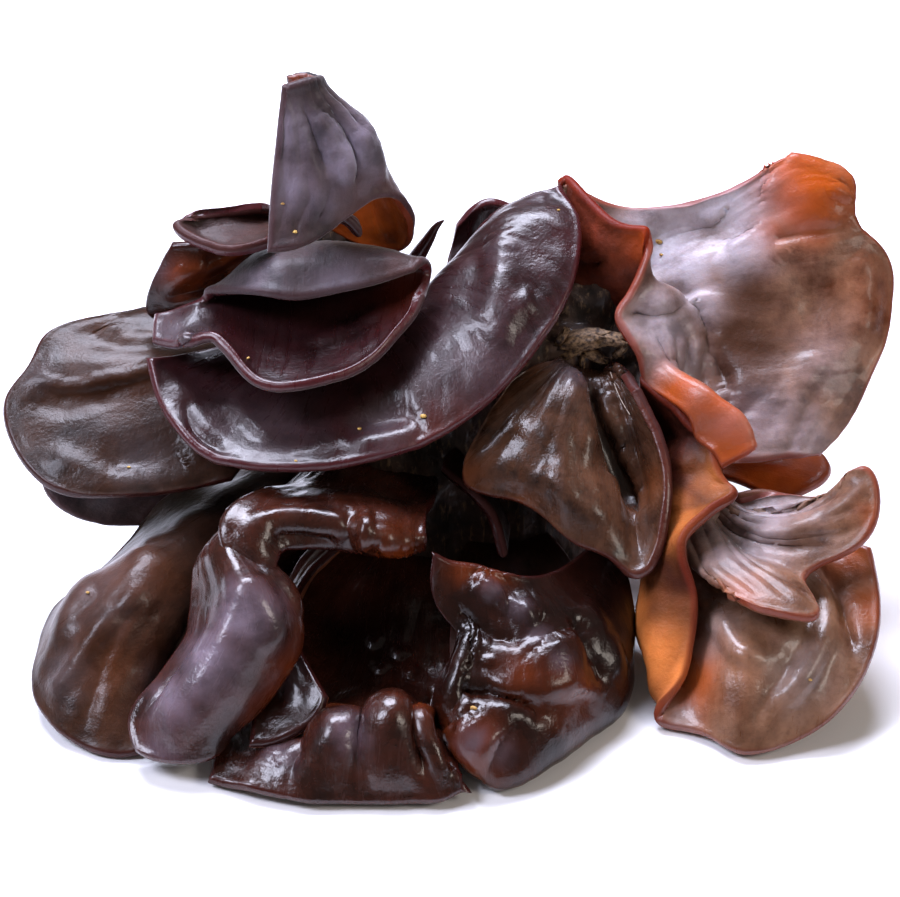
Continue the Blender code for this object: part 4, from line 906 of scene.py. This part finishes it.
def painted_light_strength(sheet, name, kind):
    """How strong one kind of the ear's painted light is at each point: the sky's sheen, the orange of light
    shining through, or the shade.
    """
    strength = np.zeros(sheet.points.shape[:2])
    for across, along, radius, most in EAR_PAINTED_LIGHT.get(name, {}).get(kind, ()):
        distance = np.linalg.norm(sheet.points - sheet.at(across, along), axis=2)
        wobble = 1 + 0.35 * grain(sheet.points, radius * 0.7, PAINTED_LIGHT_SEED)
        strength = np.maximum(strength, most * np.exp(-(distance / (radius * wobble)) ** 2))
    return strength


def grow_ear(name, sizes):
    """One ear: a grid set on its shaped sheet, thickened, and given its two skins."""
    skin = EAR_SKINS[name]
    sheet = shape_sheet(name, sizes)
    rows, columns = sheet.points.shape[:2]
    ear = new_primitive(name + "_skin", bpy.ops.mesh.primitive_grid_add,
                        x_subdivisions=columns - 1, y_subdivisions=rows - 1, size=1.0)
    count = rows * columns
    if len(ear.data.vertices) != count:
        raise RuntimeError(name + ": the grid has the wrong number of points")
    set_points(ear.data, world(sheet.points.reshape(-1, 3)))
    flesh = ear.modifiers.new("flesh", "SOLIDIFY")
    flesh.thickness = sizes.thickness
    flesh.offset = -1.0
    bpy.ops.object.modifier_apply(modifier=flesh.name)
    if len(ear.data.vertices) != 2 * count:
        raise RuntimeError(name + ": the flesh didn't double the grid")
    edge = sheet.edge_distance()
    half = half_thickness(edge, sizes)
    nap = sizes.velvet / MM * grain(sheet.points, VELVET_LUMP, VELVET_SEED) * ease(edge / 1.5)
    front = sheet.points + sheet.normals * (half + (nap if skin.wet_side < 0 else 0))[..., None]
    back = sheet.points - sheet.normals * (half + (nap if skin.wet_side > 0 else 0))[..., None]
    both = np.concatenate((front.reshape(-1, 3), back.reshape(-1, 3)))
    both[:, 2] = np.maximum(both[:, 2], FLOOR_GAP)
    set_points(ear.data, world(both))
    # The painted light goes on as layers: the orange of light shining through, the sky's sheen, and the painted
    # shade of hollows and pockets.
    for attribute, values in (
        ("edge_mm", edge),
        *((kind, painted_light_strength(sheet, name, kind)) for kind in ("glow", "film", "dark")),
        ("skin_across", np.broadcast_to(sheet.across * sheet.width, (rows, columns))),
        ("skin_along", np.broadcast_to((sheet.along * sheet.length)[:, None], (rows, columns))),
    ):
        paint(ear.data, attribute, np.concatenate((values.ravel(), values.ravel())))
    for finish in (skin.wet, skin.velvet):
        ear.data.materials.append(flesh_material(finish))
    corner = np.zeros(len(ear.data.polygons) * 4, np.int32)
    ear.data.polygons.foreach_get("vertices", corner)
    on_front = (corner.reshape(-1, 4) < count).sum(axis=1) >= 2
    wet = on_front if skin.wet_side > 0 else ~on_front
    ear.data.polygons.foreach_set("material_index", np.where(wet, 0, 1).astype(np.int32))
    ear.data.shade_smooth()
    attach(ear, "root")
    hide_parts(name)
    SHEETS[name] = sheet
    return ear


def add_node(tree, kind, attributes=None, values=None, links=None):
    """A shader node with its settings, its own input values and the sockets linked into it."""
    node = tree.nodes.new("ShaderNode" + kind)
    for key, value in (attributes or {}).items():
        setattr(node, key, value)
    for key, value in (values or {}).items():
        node.inputs[key].default_value = value
    for key, socket in (links or {}).items():
        tree.links.new(socket, node.inputs[key])
    return node


def new_material(name):
    """A material, with its node tree and its shader."""
    material = bpy.data.materials.new(name)
    material.use_nodes = True
    tree = material.node_tree
    return material, tree, tree.nodes["Principled BSDF"]


def flesh_material(name):
    """Jelly flesh of a wood ear, wet hymenium or velvety outer skin.

    The wet side is smooth gelatine under a thin layer of water, so it is dark and glossy and lets a little
    red light through where it is thin. The velvet side is a mat of very short hairs, so it is duller
    and greyer. Both are mottled over about 7 mm, streaked from root to rim, and pored at 0.5 mm.
    Light and shade are painted into the colour as well: orange where light shines through thin flesh,
    a pale sheen of the sky reflected on the skin, and shade in the hollows.
    """
    known = bpy.data.materials.get(name)
    if known:
        return known
    finish = FINISHES[name]
    main_tone = tuple(getattr(bpy.context.scene.wood_ear_colours, name))
    deep, painted_glow_tone, painted_sheen_tone, rim_tone = (linear_colour(code) for code in finish[:4])
    material, tree, shader = new_material(name)
    place = add_node(tree, "TexCoord").outputs["Object"]
    edge, glow, film, dark, across, along = (
        add_node(tree, "Attribute", {"attribute_name": layer}).outputs["Fac"]
        for layer in ("edge_mm", "glow", "film", "dark", "skin_across", "skin_along"))
    run = add_node(tree, "Math", {"operation": "MULTIPLY"}, {1: 0.16}, {0: along}).outputs[0]
    lie = add_node(tree, "CombineXYZ", links={"X": across, "Y": run}).outputs[0]
    # Mottles of 7 mm, specks of 1.1 mm, pores of 0.45 mm, and streaks 1.3 mm wide that run with the spokes.
    mottle, speck, pores, streak = (
        add_node(tree, "TexNoise", values={"Scale": scale, "Detail": detail, "Roughness": roughness},
                 links={"Vector": vector}).outputs["Fac"]
        for scale, detail, roughness, vector in (
            (1 / 0.007, 5.0, 0.62, place), (1 / 0.0011, 3.0, 0.7, place),
            (1 / 0.00045, 2.0, 0.55, place), (0.75, 4.0, 0.6, lie)))

    # Each range turns a pattern into a share: from low, from high, to low, to high.
    tone, line, fleck, warmth, cloud, roughness = (
        add_node(tree, "MapRange", values={1: low, 2: high, 3: least, 4: most}, links={0: pattern}).outputs[0]
        for pattern, low, high, least, most in (
            (mottle, 0.32, 0.68, 0.0, 1.0), (streak, 0.42, 0.72, 0.0, finish.streaks),
            (speck, 0.55, 0.75, 0.0, 0.5), (mottle, 0.3, 0.7, 0.75, 1.1),
            (mottle, 0.38, 0.56, 0.55, 1.0), (streak, 0.3, 0.7, *finish.rough)))
    rim = add_node(tree, "MapRange", {"interpolation_type": "SMOOTHSTEP"},
                   {1: 0.3, 2: 1.5, 3: 0.7, 4: 0.0}, {0: edge}).outputs[0]
    # Painted light: the orange of light shining through thin flesh and the sheen of the sky on the skin, each
    # broken up by the mottle.
    painted_glow_share, painted_sheen_share = (
        add_node(tree, "Math", {"operation": "MULTIPLY", "use_clamp": True},
                 links={0: painted_layer, 1: pattern}).outputs[0]
        for painted_layer, pattern in ((glow, warmth), (film, cloud)))

    # The tones are laid over each other, from the flesh up to the painted orange of light through thin flesh,
    # the painted sheen of the sky, the rim, and the painted shade of the hollows.
    colour = add_node(tree, "Mix", {"data_type": "RGBA"}, {6: deep, 7: main_tone}, {0: tone}).outputs[2]
    for over, share in ((main_tone, line), (deep, fleck), (painted_glow_tone, painted_glow_share), (painted_sheen_tone, painted_sheen_share),
                        (rim_tone, rim), (deep, dark)):
        colour = add_node(tree, "Mix", {"data_type": "RGBA"}, {7: over}, {0: share, 6: colour}).outputs[2]
    tree.links.new(colour, shader.inputs["Base Color"])
    tree.links.new(roughness, shader.inputs["Roughness"])

    normal = {}
    for pattern, strength, depth in ((streak, finish.streaks, 0.00035), (speck, 0.3, 0.0004),
                                     (pores, finish.pores, 0.00012)):
        normal = {"Normal": add_node(tree, "Bump", values={"Strength": strength, "Distance": depth},
                                     links={"Height": pattern, **normal}).outputs["Normal"]}
    tree.links.new(normal["Normal"], shader.inputs["Normal"])
    for socket, value in (
        ("IOR", 1.4),
        ("Coat Weight", finish.coat),
        ("Coat Roughness", finish.coat_rough),
        ("Coat IOR", 1.33),
        ("Specular IOR Level", finish.shine),
        ("Sheen Weight", 0.35 if name == "grey_velvet" else 0.0),
        ("Sheen Roughness", 0.4),
        ("Subsurface Weight", finish.soft),
        ("Subsurface Scale", 0.0012),
        ("Subsurface Radius", (1.0, 0.36, 0.18)),
    ):
        shader.inputs[socket].default_value = value
    return material


def bark_material(colours):
    """Tough spongy base flesh with wood dust rubbed into it: dull, brown and finely fibrous."""
    material, tree, shader = new_material("spongy_bark_base")
    place = add_node(tree, "TexCoord").outputs["Object"]
    stretch = add_node(tree, "Mapping", values={"Scale": (1.0, 1.0, 0.22)}, links={"Vector": place}).outputs[0]
    patches, fibres = (
        add_node(tree, "TexNoise", values={"Scale": scale, "Detail": detail, "Roughness": roughness},
                 links={"Vector": vector}).outputs["Fac"]
        for scale, detail, roughness, vector in ((1 / 0.006, 6.0, 0.65, place), (1 / 0.0009, 3.0, 0.6, stretch)))
    tone = add_node(tree, "MapRange", values={1: 0.36, 2: 0.64}, links={0: patches}).outputs[0]
    thread = add_node(tree, "MapRange", values={1: 0.56, 2: 0.72, 4: 0.7}, links={0: fibres}).outputs[0]
    base = add_node(tree, "Mix", {"data_type": "RGBA"},
                    {6: linear_colour("160e0b"), 7: tuple(colours.bark)}, {0: tone}).outputs[2]
    threaded = add_node(tree, "Mix", {"data_type": "RGBA"}, {7: tuple(colours.bark_fibre)},
                        {0: thread, 6: base}).outputs[2]
    raised = add_node(tree, "Bump", values={"Strength": 0.7, "Distance": 0.0004},
                      links={"Height": fibres}).outputs["Normal"]
    tree.links.new(threaded, shader.inputs["Base Color"])
    tree.links.new(raised, shader.inputs["Normal"])
    shader.inputs["Roughness"].default_value = 0.7
    shader.inputs["Coat Weight"].default_value = 0.15
    return material


def grit_material(name, pale, deep):
    """Small dry bits, such as crumbs of wood and grit, speckled between two colours at 0.6 mm."""
    material, tree, shader = new_material(name)
    place = add_node(tree, "TexCoord").outputs["Object"]
    speckle = add_node(tree, "TexNoise", values={"Scale": 1 / 0.0006, "Detail": 2.0},
                       links={"Vector": place}).outputs["Fac"]
    tone = add_node(tree, "MapRange", values={1: 0.35, 2: 0.65}, links={0: speckle}).outputs[0]
    colour = add_node(tree, "Mix", {"data_type": "RGBA"},
                      {6: linear_colour(deep), 7: tuple(pale)}, {0: tone}).outputs[2]
    tree.links.new(colour, shader.inputs["Base Color"])
    shader.inputs["Roughness"].default_value = 0.65
    return material


def ringed_tube(name, sides, loops):
    """A closed cylinder cut into loops and open for editing, with each vertex's level and turn on it."""
    tube = new_primitive(name, bpy.ops.mesh.primitive_cylinder_add, vertices=sides, radius=1.0, depth=1.0)
    bpy.ops.object.mode_set(mode="EDIT")
    shape = bmesh.from_edit_mesh(tube.data)
    lengthwise = [edge for edge in shape.edges if abs(edge.verts[0].co.z - edge.verts[1].co.z) > 0.5]
    bmesh.ops.subdivide_edges(shape, edges=lengthwise, cuts=loops - 1, use_grid_fill=False)
    spots = [(vertex, int(round((vertex.co.z + 0.5) * loops)), np.arctan2(vertex.co.y, vertex.co.x))
             for vertex in shape.verts]
    return tube, shape, spots


def close_editing(piece):
    """Write an edited shape back to its piece."""
    bmesh.update_edit_mesh(piece.data)
    bpy.ops.object.mode_set(mode="OBJECT")


def add_lump(name, rings):
    """A closed lump through rings, from a cylinder whose loops are moved onto them."""
    lump, shape, spots = ringed_tube(name, LUMP_SIDES, len(rings) - 1)
    for vertex, level, turn in spots:
        z, x, y, half_x, half_y = rings[level]
        vertex.co = world((x + half_x * np.cos(turn), y + half_y * np.sin(turn), z))
    close_editing(lump)
    return lump


def keep_main_shell(piece):
    """Delete the specks that a voxel remesh can leave beside or inside the body that stands lowest."""
    bpy.ops.object.mode_set(mode="EDIT")
    bpy.ops.mesh.select_all(action="DESELECT")
    shape = bmesh.from_edit_mesh(piece.data)
    min(shape.verts, key=lambda vertex: vertex.co.z).select_set(True)
    bmesh.update_edit_mesh(piece.data)
    bpy.ops.mesh.select_linked()
    bpy.ops.mesh.select_all(action="INVERT")
    bpy.ops.mesh.delete(type="VERT")
    bpy.ops.object.mode_set(mode="OBJECT")


def join_pieces(name, pieces):
    """Join pieces into the first of them, under a new name."""
    bpy.ops.object.select_all(action="DESELECT")
    for piece in pieces:
        piece.select_set(True)
    bpy.context.view_layer.objects.active = pieces[0]
    if len(pieces) > 1:
        bpy.ops.object.join()
    joined = bpy.context.active_object
    joined.name = name
    return joined


def read_triples(mesh, key):
    """The mesh's vertex places or normals as rows of three."""
    values = np.zeros(len(mesh.vertices) * 3, np.float32)
    mesh.vertices.foreach_get(key, values)
    return values.reshape(-1, 3)


def grow_holdfast(sizes):
    """The holdfast: its lumps fused into one, then roughened like bark, with the cut left flat."""
    holdfast = join_pieces("holdfast_flesh", [
        add_lump("holdfast_lump_%d" % index, rings)
        for index, rings in enumerate((STUMP_RINGS, SHOULDER_RINGS, *NECK_RINGS))])
    fuse = holdfast.modifiers.new("fuse", "REMESH")
    fuse.mode = "VOXEL"
    fuse.voxel_size = sizes.bark_cell
    bpy.ops.object.modifier_apply(modifier=fuse.name)
    keep_main_shell(holdfast)
    melt = holdfast.modifiers.new("melt", "SMOOTH")
    melt.iterations = MELT_ROUNDS
    bpy.ops.object.modifier_apply(modifier=melt.name)
    mesh = holdfast.data
    points = read_triples(mesh, "co") / MM
    outward = read_triples(mesh, "normal")
    tall = points * BARK_STRETCH
    rough = 0.9 * grain(tall, 4.0, BARK_SEED) + 0.45 * grain(tall, 1.5, FINE_BARK_SEED)
    rough = rough + 0.3 * grain(points, 0.9, BARK_PIT_SEED)
    clear = ease(points[:, 2] / 1.5)
    points = points + outward * (rough * clear)[:, None]
    points[:, 2] = np.where(points[:, 2] < CUT_REACH, 0.0, points[:, 2])
    set_points(mesh, points * MM)
    dress(holdfast, bark_material(bpy.context.scene.wood_ear_colours))
    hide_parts("holdfast")


def dress(piece, material):
    """Give a piece that rides the root its one material, shaded smooth."""
    piece.data.materials.clear()
    piece.data.materials.append(material)
    piece.data.shade_smooth()
    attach(piece, "root")


def finish_bits(name, bits, material):
    """Join bits into one piece that rides the root."""
    piece = join_pieces(name, bits)
    piece.data.name = name
    dress(piece, material)


def new_ball(name, detail, radius):
    """An ico sphere, with its points in millimetres."""
    ball = new_primitive(name, bpy.ops.mesh.primitive_ico_sphere_add, subdivisions=detail, radius=radius)
    return ball, np.array([vertex.co for vertex in ball.data.vertices]) / MM


def scatter_crumbs(name, crumbs, material):
    """Small irregular crumbs lying on the ears, joined into one piece."""
    made = []
    for index, (ear, across, along, side, size) in enumerate(crumbs):
        sheet = SHEETS[ear]
        spot = sheet.nearest(across, along)
        seat = sheet.points[spot] + side * sheet.normals[spot] * (0.75 + size * 0.2)
        crumb, points = new_ball("%s_%d" % (name, index), 2, size * MM / 2)
        lumps = 1 + 0.5 * grain(points + 7.0 * index, size * 0.6, CRUMB_SEED)
        set_points(crumb.data, points * CRUMB_SHAPE * lumps[:, None] * MM + world(seat))
        made.append(crumb)
    finish_bits(name, made, material)


def wedge_chips(name, chips, material):
    """Frayed splinters of bark wedged between the ears."""
    made = []
    for index, (place, length, turn) in enumerate(chips):
        chip, points = new_ball("%s_%d" % (name, index), 4, MM)
        grained = grain(points * CHIP_GRAIN + 5.0 * index, 0.5, CHIP_SEED)
        fray = 1 + 0.6 * grained * np.abs(points[:, :1]).ravel()
        x, y, z = (points * (length / 2, 0.26 * length, 0.18 * length) * fray[:, None]).T
        turned = np.stack((x * np.cos(turn) - z * np.sin(turn), y, x * np.sin(turn) + z * np.cos(turn)), axis=1)
        set_points(chip.data, world(turned + place))
        made.append(chip)
    finish_bits(name, made, material)


def draw_strand(name, strand, material):
    """A thin closed strand through points, from a cylinder whose loops are moved onto rings round them."""
    piece, shape, spots = ringed_tube(name, STRAND_SIDES, STRAND_LOOPS)
    path = np.array([point for point, _ in strand], float)
    stations = spread_along(np.linalg.norm(np.diff(path, axis=0), axis=1))
    share = np.linspace(0, 1, STRAND_LOOPS + 1)
    middle = curve_at(path, stations, share)
    half = np.interp(share, stations, [radius for _, radius in strand])
    run = np.gradient(middle, axis=0)
    run /= np.linalg.norm(run, axis=1, keepdims=True)
    sideways = np.cross(run, (0.0, 1.0, 0.0))
    sideways /= np.linalg.norm(sideways, axis=1, keepdims=True)
    outward = np.cross(run, sideways)
    for vertex, level, turn in spots:
        ring = np.cos(turn) * sideways[level] - np.sin(turn) * outward[level]
        vertex.co = world(middle[level] + half[level] * ring)
    bmesh.ops.recalc_face_normals(shape, faces=shape.faces)
    if shape.calc_volume(signed=True) < 0:
        bmesh.ops.reverse_faces(shape, faces=shape.faces)
    close_editing(piece)
    finish_bits(name, [piece], material)


def soft_light(name, place, size, power, colour):
    """A rectangular softbox turned towards the ears."""
    lamp = bpy.data.lights.new(name, "AREA")
    lamp.shape = "RECTANGLE"
    lamp.size, lamp.size_y = size
    lamp.energy = power
    lamp.color = tuple(colour)[:3]
    light = bpy.data.objects.new(name, lamp)
    light.location = place
    light.rotation_euler = (LIGHT_TARGET - Vector(place)).to_track_quat("-Z", "Y").to_euler()
    bpy.context.scene.collection.objects.link(light)


def set_stage(studio, colours):
    """A plain pale floor, soft lights, and the camera a little above the ears."""
    floor = new_primitive("pale_floor", bpy.ops.mesh.primitive_plane_add, size=FLOOR_SIZE)
    paper, _, shader = new_material("matt_white_paper")
    shader.inputs["Base Color"].default_value = tuple(colours.paper)
    shader.inputs["Roughness"].default_value = 0.9
    floor.data.materials.append(paper)
    for name, place, size, power, colour in STUDIO_LIGHTS:
        soft_light(name, place, size, power * studio.light, getattr(colours, colour))
    sky = bpy.data.worlds.new("soft_sky")
    sky.use_nodes = True
    ground = sky.node_tree.nodes["Background"]
    ground.inputs["Color"].default_value = tuple(colours.warm_light)
    ground.inputs["Strength"].default_value = studio.sky
    scene = bpy.context.scene
    scene.world = sky
    scene.view_settings.view_transform = "Standard"
    camera = bpy.data.objects.new("camera", bpy.data.cameras.new("camera"))
    camera.data.lens = LENS_MM
    camera.data.sensor_width = SENSOR_MM
    camera.location = CAMERA_AIM + CAMERA_BACK * studio.distance
    camera.rotation_euler = (-CAMERA_BACK).to_track_quat("-Z", "Y").to_euler()
    scene.collection.objects.link(camera)
    scene.camera = camera


def grow_group(*names):
    """Grow the named ears in turn."""
    for name in names:
        grow_ear(name, bpy.context.scene.wood_ear_sizes)


class WoodEarSizes(bpy.types.PropertyGroup):
    """Sizes of the flesh, its grid and its reliefs."""

    cell: FloatProperty(name="Cell", description="Width of one cell of an ear's grid",
                        default=0.5 * MM, min=0.3 * MM, unit="LENGTH")
    thickness: FloatProperty(name="Thickness", description="Thickness of the flesh",
                             default=1.5 * MM, unit="LENGTH")
    bead: FloatProperty(name="Bead", description="How far the rim's bead swells on each side",
                        default=0.22 * MM, unit="LENGTH")
    rim_wave: FloatProperty(name="Rim wave", description="How far the rims wave up and down",
                            default=0.5 * MM, unit="LENGTH")
    velvet: FloatProperty(name="Velvet", description="Height of the nap on the outer side",
                          default=0.06 * MM, unit="LENGTH")
    ripple: FloatProperty(name="Ripple", description="Scale of each ear's broad ripples", default=1.0)
    crinkle: FloatProperty(name="Crinkle", description="Scale of each ear's fine crinkles", default=1.0)
    bark_cell: FloatProperty(name="Bark cell", description="Width of a cell of the holdfast's surface",
                             default=0.7 * MM, unit="LENGTH")


def colour_property(name, description, code):
    """A colour to choose in the panel, with its default as an sRGB hex code."""
    return FloatVectorProperty(name=name, description=description, default=linear_colour(code),
                               subtype="COLOR", size=4, min=0.0, max=1.0)


class WoodEarColours(bpy.types.PropertyGroup):
    """Main colours of the skins, the bark, the bits and the studio."""

    wet_purple: colour_property("Wet purple", "Wet skin of the purple-brown ears", "301214")
    wet_brown: colour_property("Wet brown", "Wet skin of the brown ears", "3c1a10")
    wet_umber: colour_property("Wet umber", "Wet skin of the ears on the left", "3e261a")
    wet_dark: colour_property("Wet dark", "Wet skin of the darkest ears", "28110b")
    wet_milky: colour_property("Wet milky", "Wet skin of the pale ears", "86604a")
    wet_fawn: colour_property("Wet fawn", "Wet skin of the fan", "5a3a29")
    wet_tan: colour_property("Wet tan", "Wet skin of the tan ears", "86614a")
    wet_orange: colour_property("Wet orange", "Wet skin where light comes through", "a04e1e")
    grey_velvet: colour_property("Grey velvet", "Nap of the grey outer skins", "4c3a3b")
    brown_velvet: colour_property("Brown velvet", "Nap of the brown outer skins", "3c2219")
    tan_velvet: colour_property("Tan velvet", "Nap of the tan outer skins", "87624b")
    orange_velvet: colour_property("Orange velvet", "Nap of the orange outer skins", "a8561f")
    rust_velvet: colour_property("Rust velvet", "Nap of the tall cup's outer skin", "6e2c1a")
    wine_velvet: colour_property("Wine velvet", "Nap of the long flap's outer skin", "451c12")
    bark: colour_property("Bark", "Spongy base", "4a3226")
    bark_fibre: colour_property("Bark fibre", "Pale fibres on the base", "8e7256")
    chip: colour_property("Chip", "Frayed chips of bark", "8f7152")
    crumb: colour_property("Crumb", "Dry crumbs of wood", "d9b25e")
    hair: colour_property("Hair", "Fine thread lying on the fan", "c9b8a8")
    paper: colour_property("Paper", "Floor of the studio", "f4f4f6")
    cool_light: colour_property("Cool light", "Softboxes", "e6e9ff")
    warm_light: colour_property("Warm light", "Fill from the right", "fff4ea")


class WoodEarStudio(bpy.types.PropertyGroup):
    """Strength of the light and place of the camera."""

    light: FloatProperty(name="Light", description="Scale of the lamps' power", default=1.15)
    sky: FloatProperty(name="Sky", description="Strength of the light from all round", default=0.16)
    distance: FloatProperty(name="Distance", description="Camera's distance from the ears",
                            default=0.5625, unit="LENGTH")


class WOODEAR_OT_holdfast(bpy.types.Operator):
    """Grow the holdfast with its flat cut"""

    bl_idname = "wood_ear.holdfast"
    bl_label = "Holdfast"

    def execute(self, context):
        grow_holdfast(context.scene.wood_ear_sizes)
        return {"FINISHED"}


class WOODEAR_OT_crown(bpy.types.Operator):
    """Grow the horn, its hood curl, the top dish, the dark curl and the round ear behind them"""

    bl_idname = "wood_ear.crown"
    bl_label = "Crown ears"

    def execute(self, context):
        grow_group("horn_ear", "hood_curl_ear", "top_dish_ear", "dark_curl_ear", "back_round_ear")
        return {"FINISHED"}


class WOODEAR_OT_shelf(bpy.types.Operator):
    """Grow the clam and the broad shelf below it"""

    bl_idname = "wood_ear.shelf"
    bl_label = "Clam and centre shelf"

    def execute(self, context):
        grow_group("clam_ear", "centre_shelf_ear")
        return {"FINISHED"}


class WOODEAR_OT_left(bpy.types.Operator):
    """Grow the dish and the ears below it on the left"""

    bl_idname = "wood_ear.left"
    bl_label = "Left ears"

    def execute(self, context):
        grow_group("left_dish_ear", "left_under_ear", "lower_left_ear")
        return {"FINISHED"}


class WOODEAR_OT_front(bpy.types.Operator):
    """Grow the rolled tongue, the lip, the folded ear and the bulging ear in front"""

    bl_idname = "wood_ear.front"
    bl_label = "Front ears"

    def execute(self, context):
        grow_group("rolled_tongue_ear", "front_lip_ear", "small_folded_ear", "front_right_ear",
                   "inner_strip_ear")
        return {"FINISHED"}


class WOODEAR_OT_right(bpy.types.Operator):
    """Grow the fan, the tall cup, the shelf, the small dome and the long flap on the right"""

    bl_idname = "wood_ear.right"
    bl_label = "Right ears"

    def execute(self, context):
        grow_group("centre_right_ear", "right_top_ear", "right_shelf_ear", "small_dome_ear",
                   "long_flap_ear")
        return {"FINISHED"}


class WOODEAR_OT_back(bpy.types.Operator):
    """Grow the three ears behind the holdfast"""

    bl_idname = "wood_ear.back"
    bl_label = "Back ears"

    def execute(self, context):
        grow_group("back_left_ear", "back_right_ear", "back_low_ear")
        return {"FINISHED"}


class WOODEAR_OT_crumbs(bpy.types.Operator):
    """Scatter the crumbs of wood that stick to the wet ears"""

    bl_idname = "wood_ear.crumbs"
    bl_label = "Crumbs"

    def execute(self, context):
        if not SHEETS:
            raise RuntimeError("grow the ears before the crumbs")
        colours = context.scene.wood_ear_colours
        scatter_crumbs("wood_crumbs", CRUMBS, grit_material("dry_wood_crumb", colours.crumb, "8a6230"))
        wedge_chips("bark_chips", BARK_CHIPS, grit_material("frayed_bark_chip", colours.chip, "2e1b12"))
        draw_strand("twig_tip", TWIG_TIP, flesh_material("wet_dark"))
        fan = SHEETS[THREAD_EAR]
        thread = [(fan.points[spot] - fan.normals[spot], THREAD_HALF)
                  for spot in (fan.nearest(*place) for place in THREAD_PLACES)]
        draw_strand("fine_thread", thread, grit_material("spider_silk_thread", colours.hair, "8d7c70"))
        return {"FINISHED"}


class WOODEAR_OT_stage(bpy.types.Operator):
    """Set the floor, the lights and the camera"""

    bl_idname = "wood_ear.stage"
    bl_label = "Stage"

    def execute(self, context):
        set_stage(context.scene.wood_ear_studio, context.scene.wood_ear_colours)
        return {"FINISHED"}


OPERATORS = (
    WOODEAR_OT_holdfast,
    WOODEAR_OT_crown,
    WOODEAR_OT_shelf,
    WOODEAR_OT_left,
    WOODEAR_OT_front,
    WOODEAR_OT_right,
    WOODEAR_OT_back,
    WOODEAR_OT_crumbs,
    WOODEAR_OT_stage,
)


class WOODEAR_PT_panel(bpy.types.Panel):
    """Lists the steps in order, with the sizes and the studio's settings"""

    bl_idname = "WOODEAR_PT_panel"
    bl_label = "Wood Ear"
    bl_space_type = "VIEW_3D"
    bl_region_type = "UI"
    bl_category = "Wood Ear"

    def draw(self, context):
        column = self.layout.column()
        for settings in (context.scene.wood_ear_sizes, context.scene.wood_ear_colours,
                         context.scene.wood_ear_studio):
            for key in settings.__annotations__:
                column.prop(settings, key)
        for operator in OPERATORS:
            column.operator(operator.bl_idname)


CLASSES = (WoodEarSizes, WoodEarColours, WoodEarStudio, *OPERATORS, WOODEAR_PT_panel)


def register():
    """Register the settings, the steps and the panel."""
    for cls in CLASSES:
        bpy.utils.register_class(cls)
    bpy.types.Scene.wood_ear_sizes = PointerProperty(type=WoodEarSizes)
    bpy.types.Scene.wood_ear_colours = PointerProperty(type=WoodEarColours)
    bpy.types.Scene.wood_ear_studio = PointerProperty(type=WoodEarStudio)


def unregister():
    """Remove what register added, in reverse."""
    del bpy.types.Scene.wood_ear_studio
    del bpy.types.Scene.wood_ear_colours
    del bpy.types.Scene.wood_ear_sizes
    for cls in reversed(CLASSES):
        bpy.utils.unregister_class(cls)


def main():
    """Build the scene step by step."""
    register()
    bpy.ops.wood_ear.stage()
    bpy.ops.wood_ear.holdfast()
    bpy.ops.wood_ear.crown()
    bpy.ops.wood_ear.shelf()
    bpy.ops.wood_ear.left()
    bpy.ops.wood_ear.front()
    bpy.ops.wood_ear.right()
    bpy.ops.wood_ear.back()
    bpy.ops.wood_ear.crumbs()


if __name__ == "__main__":
    main()
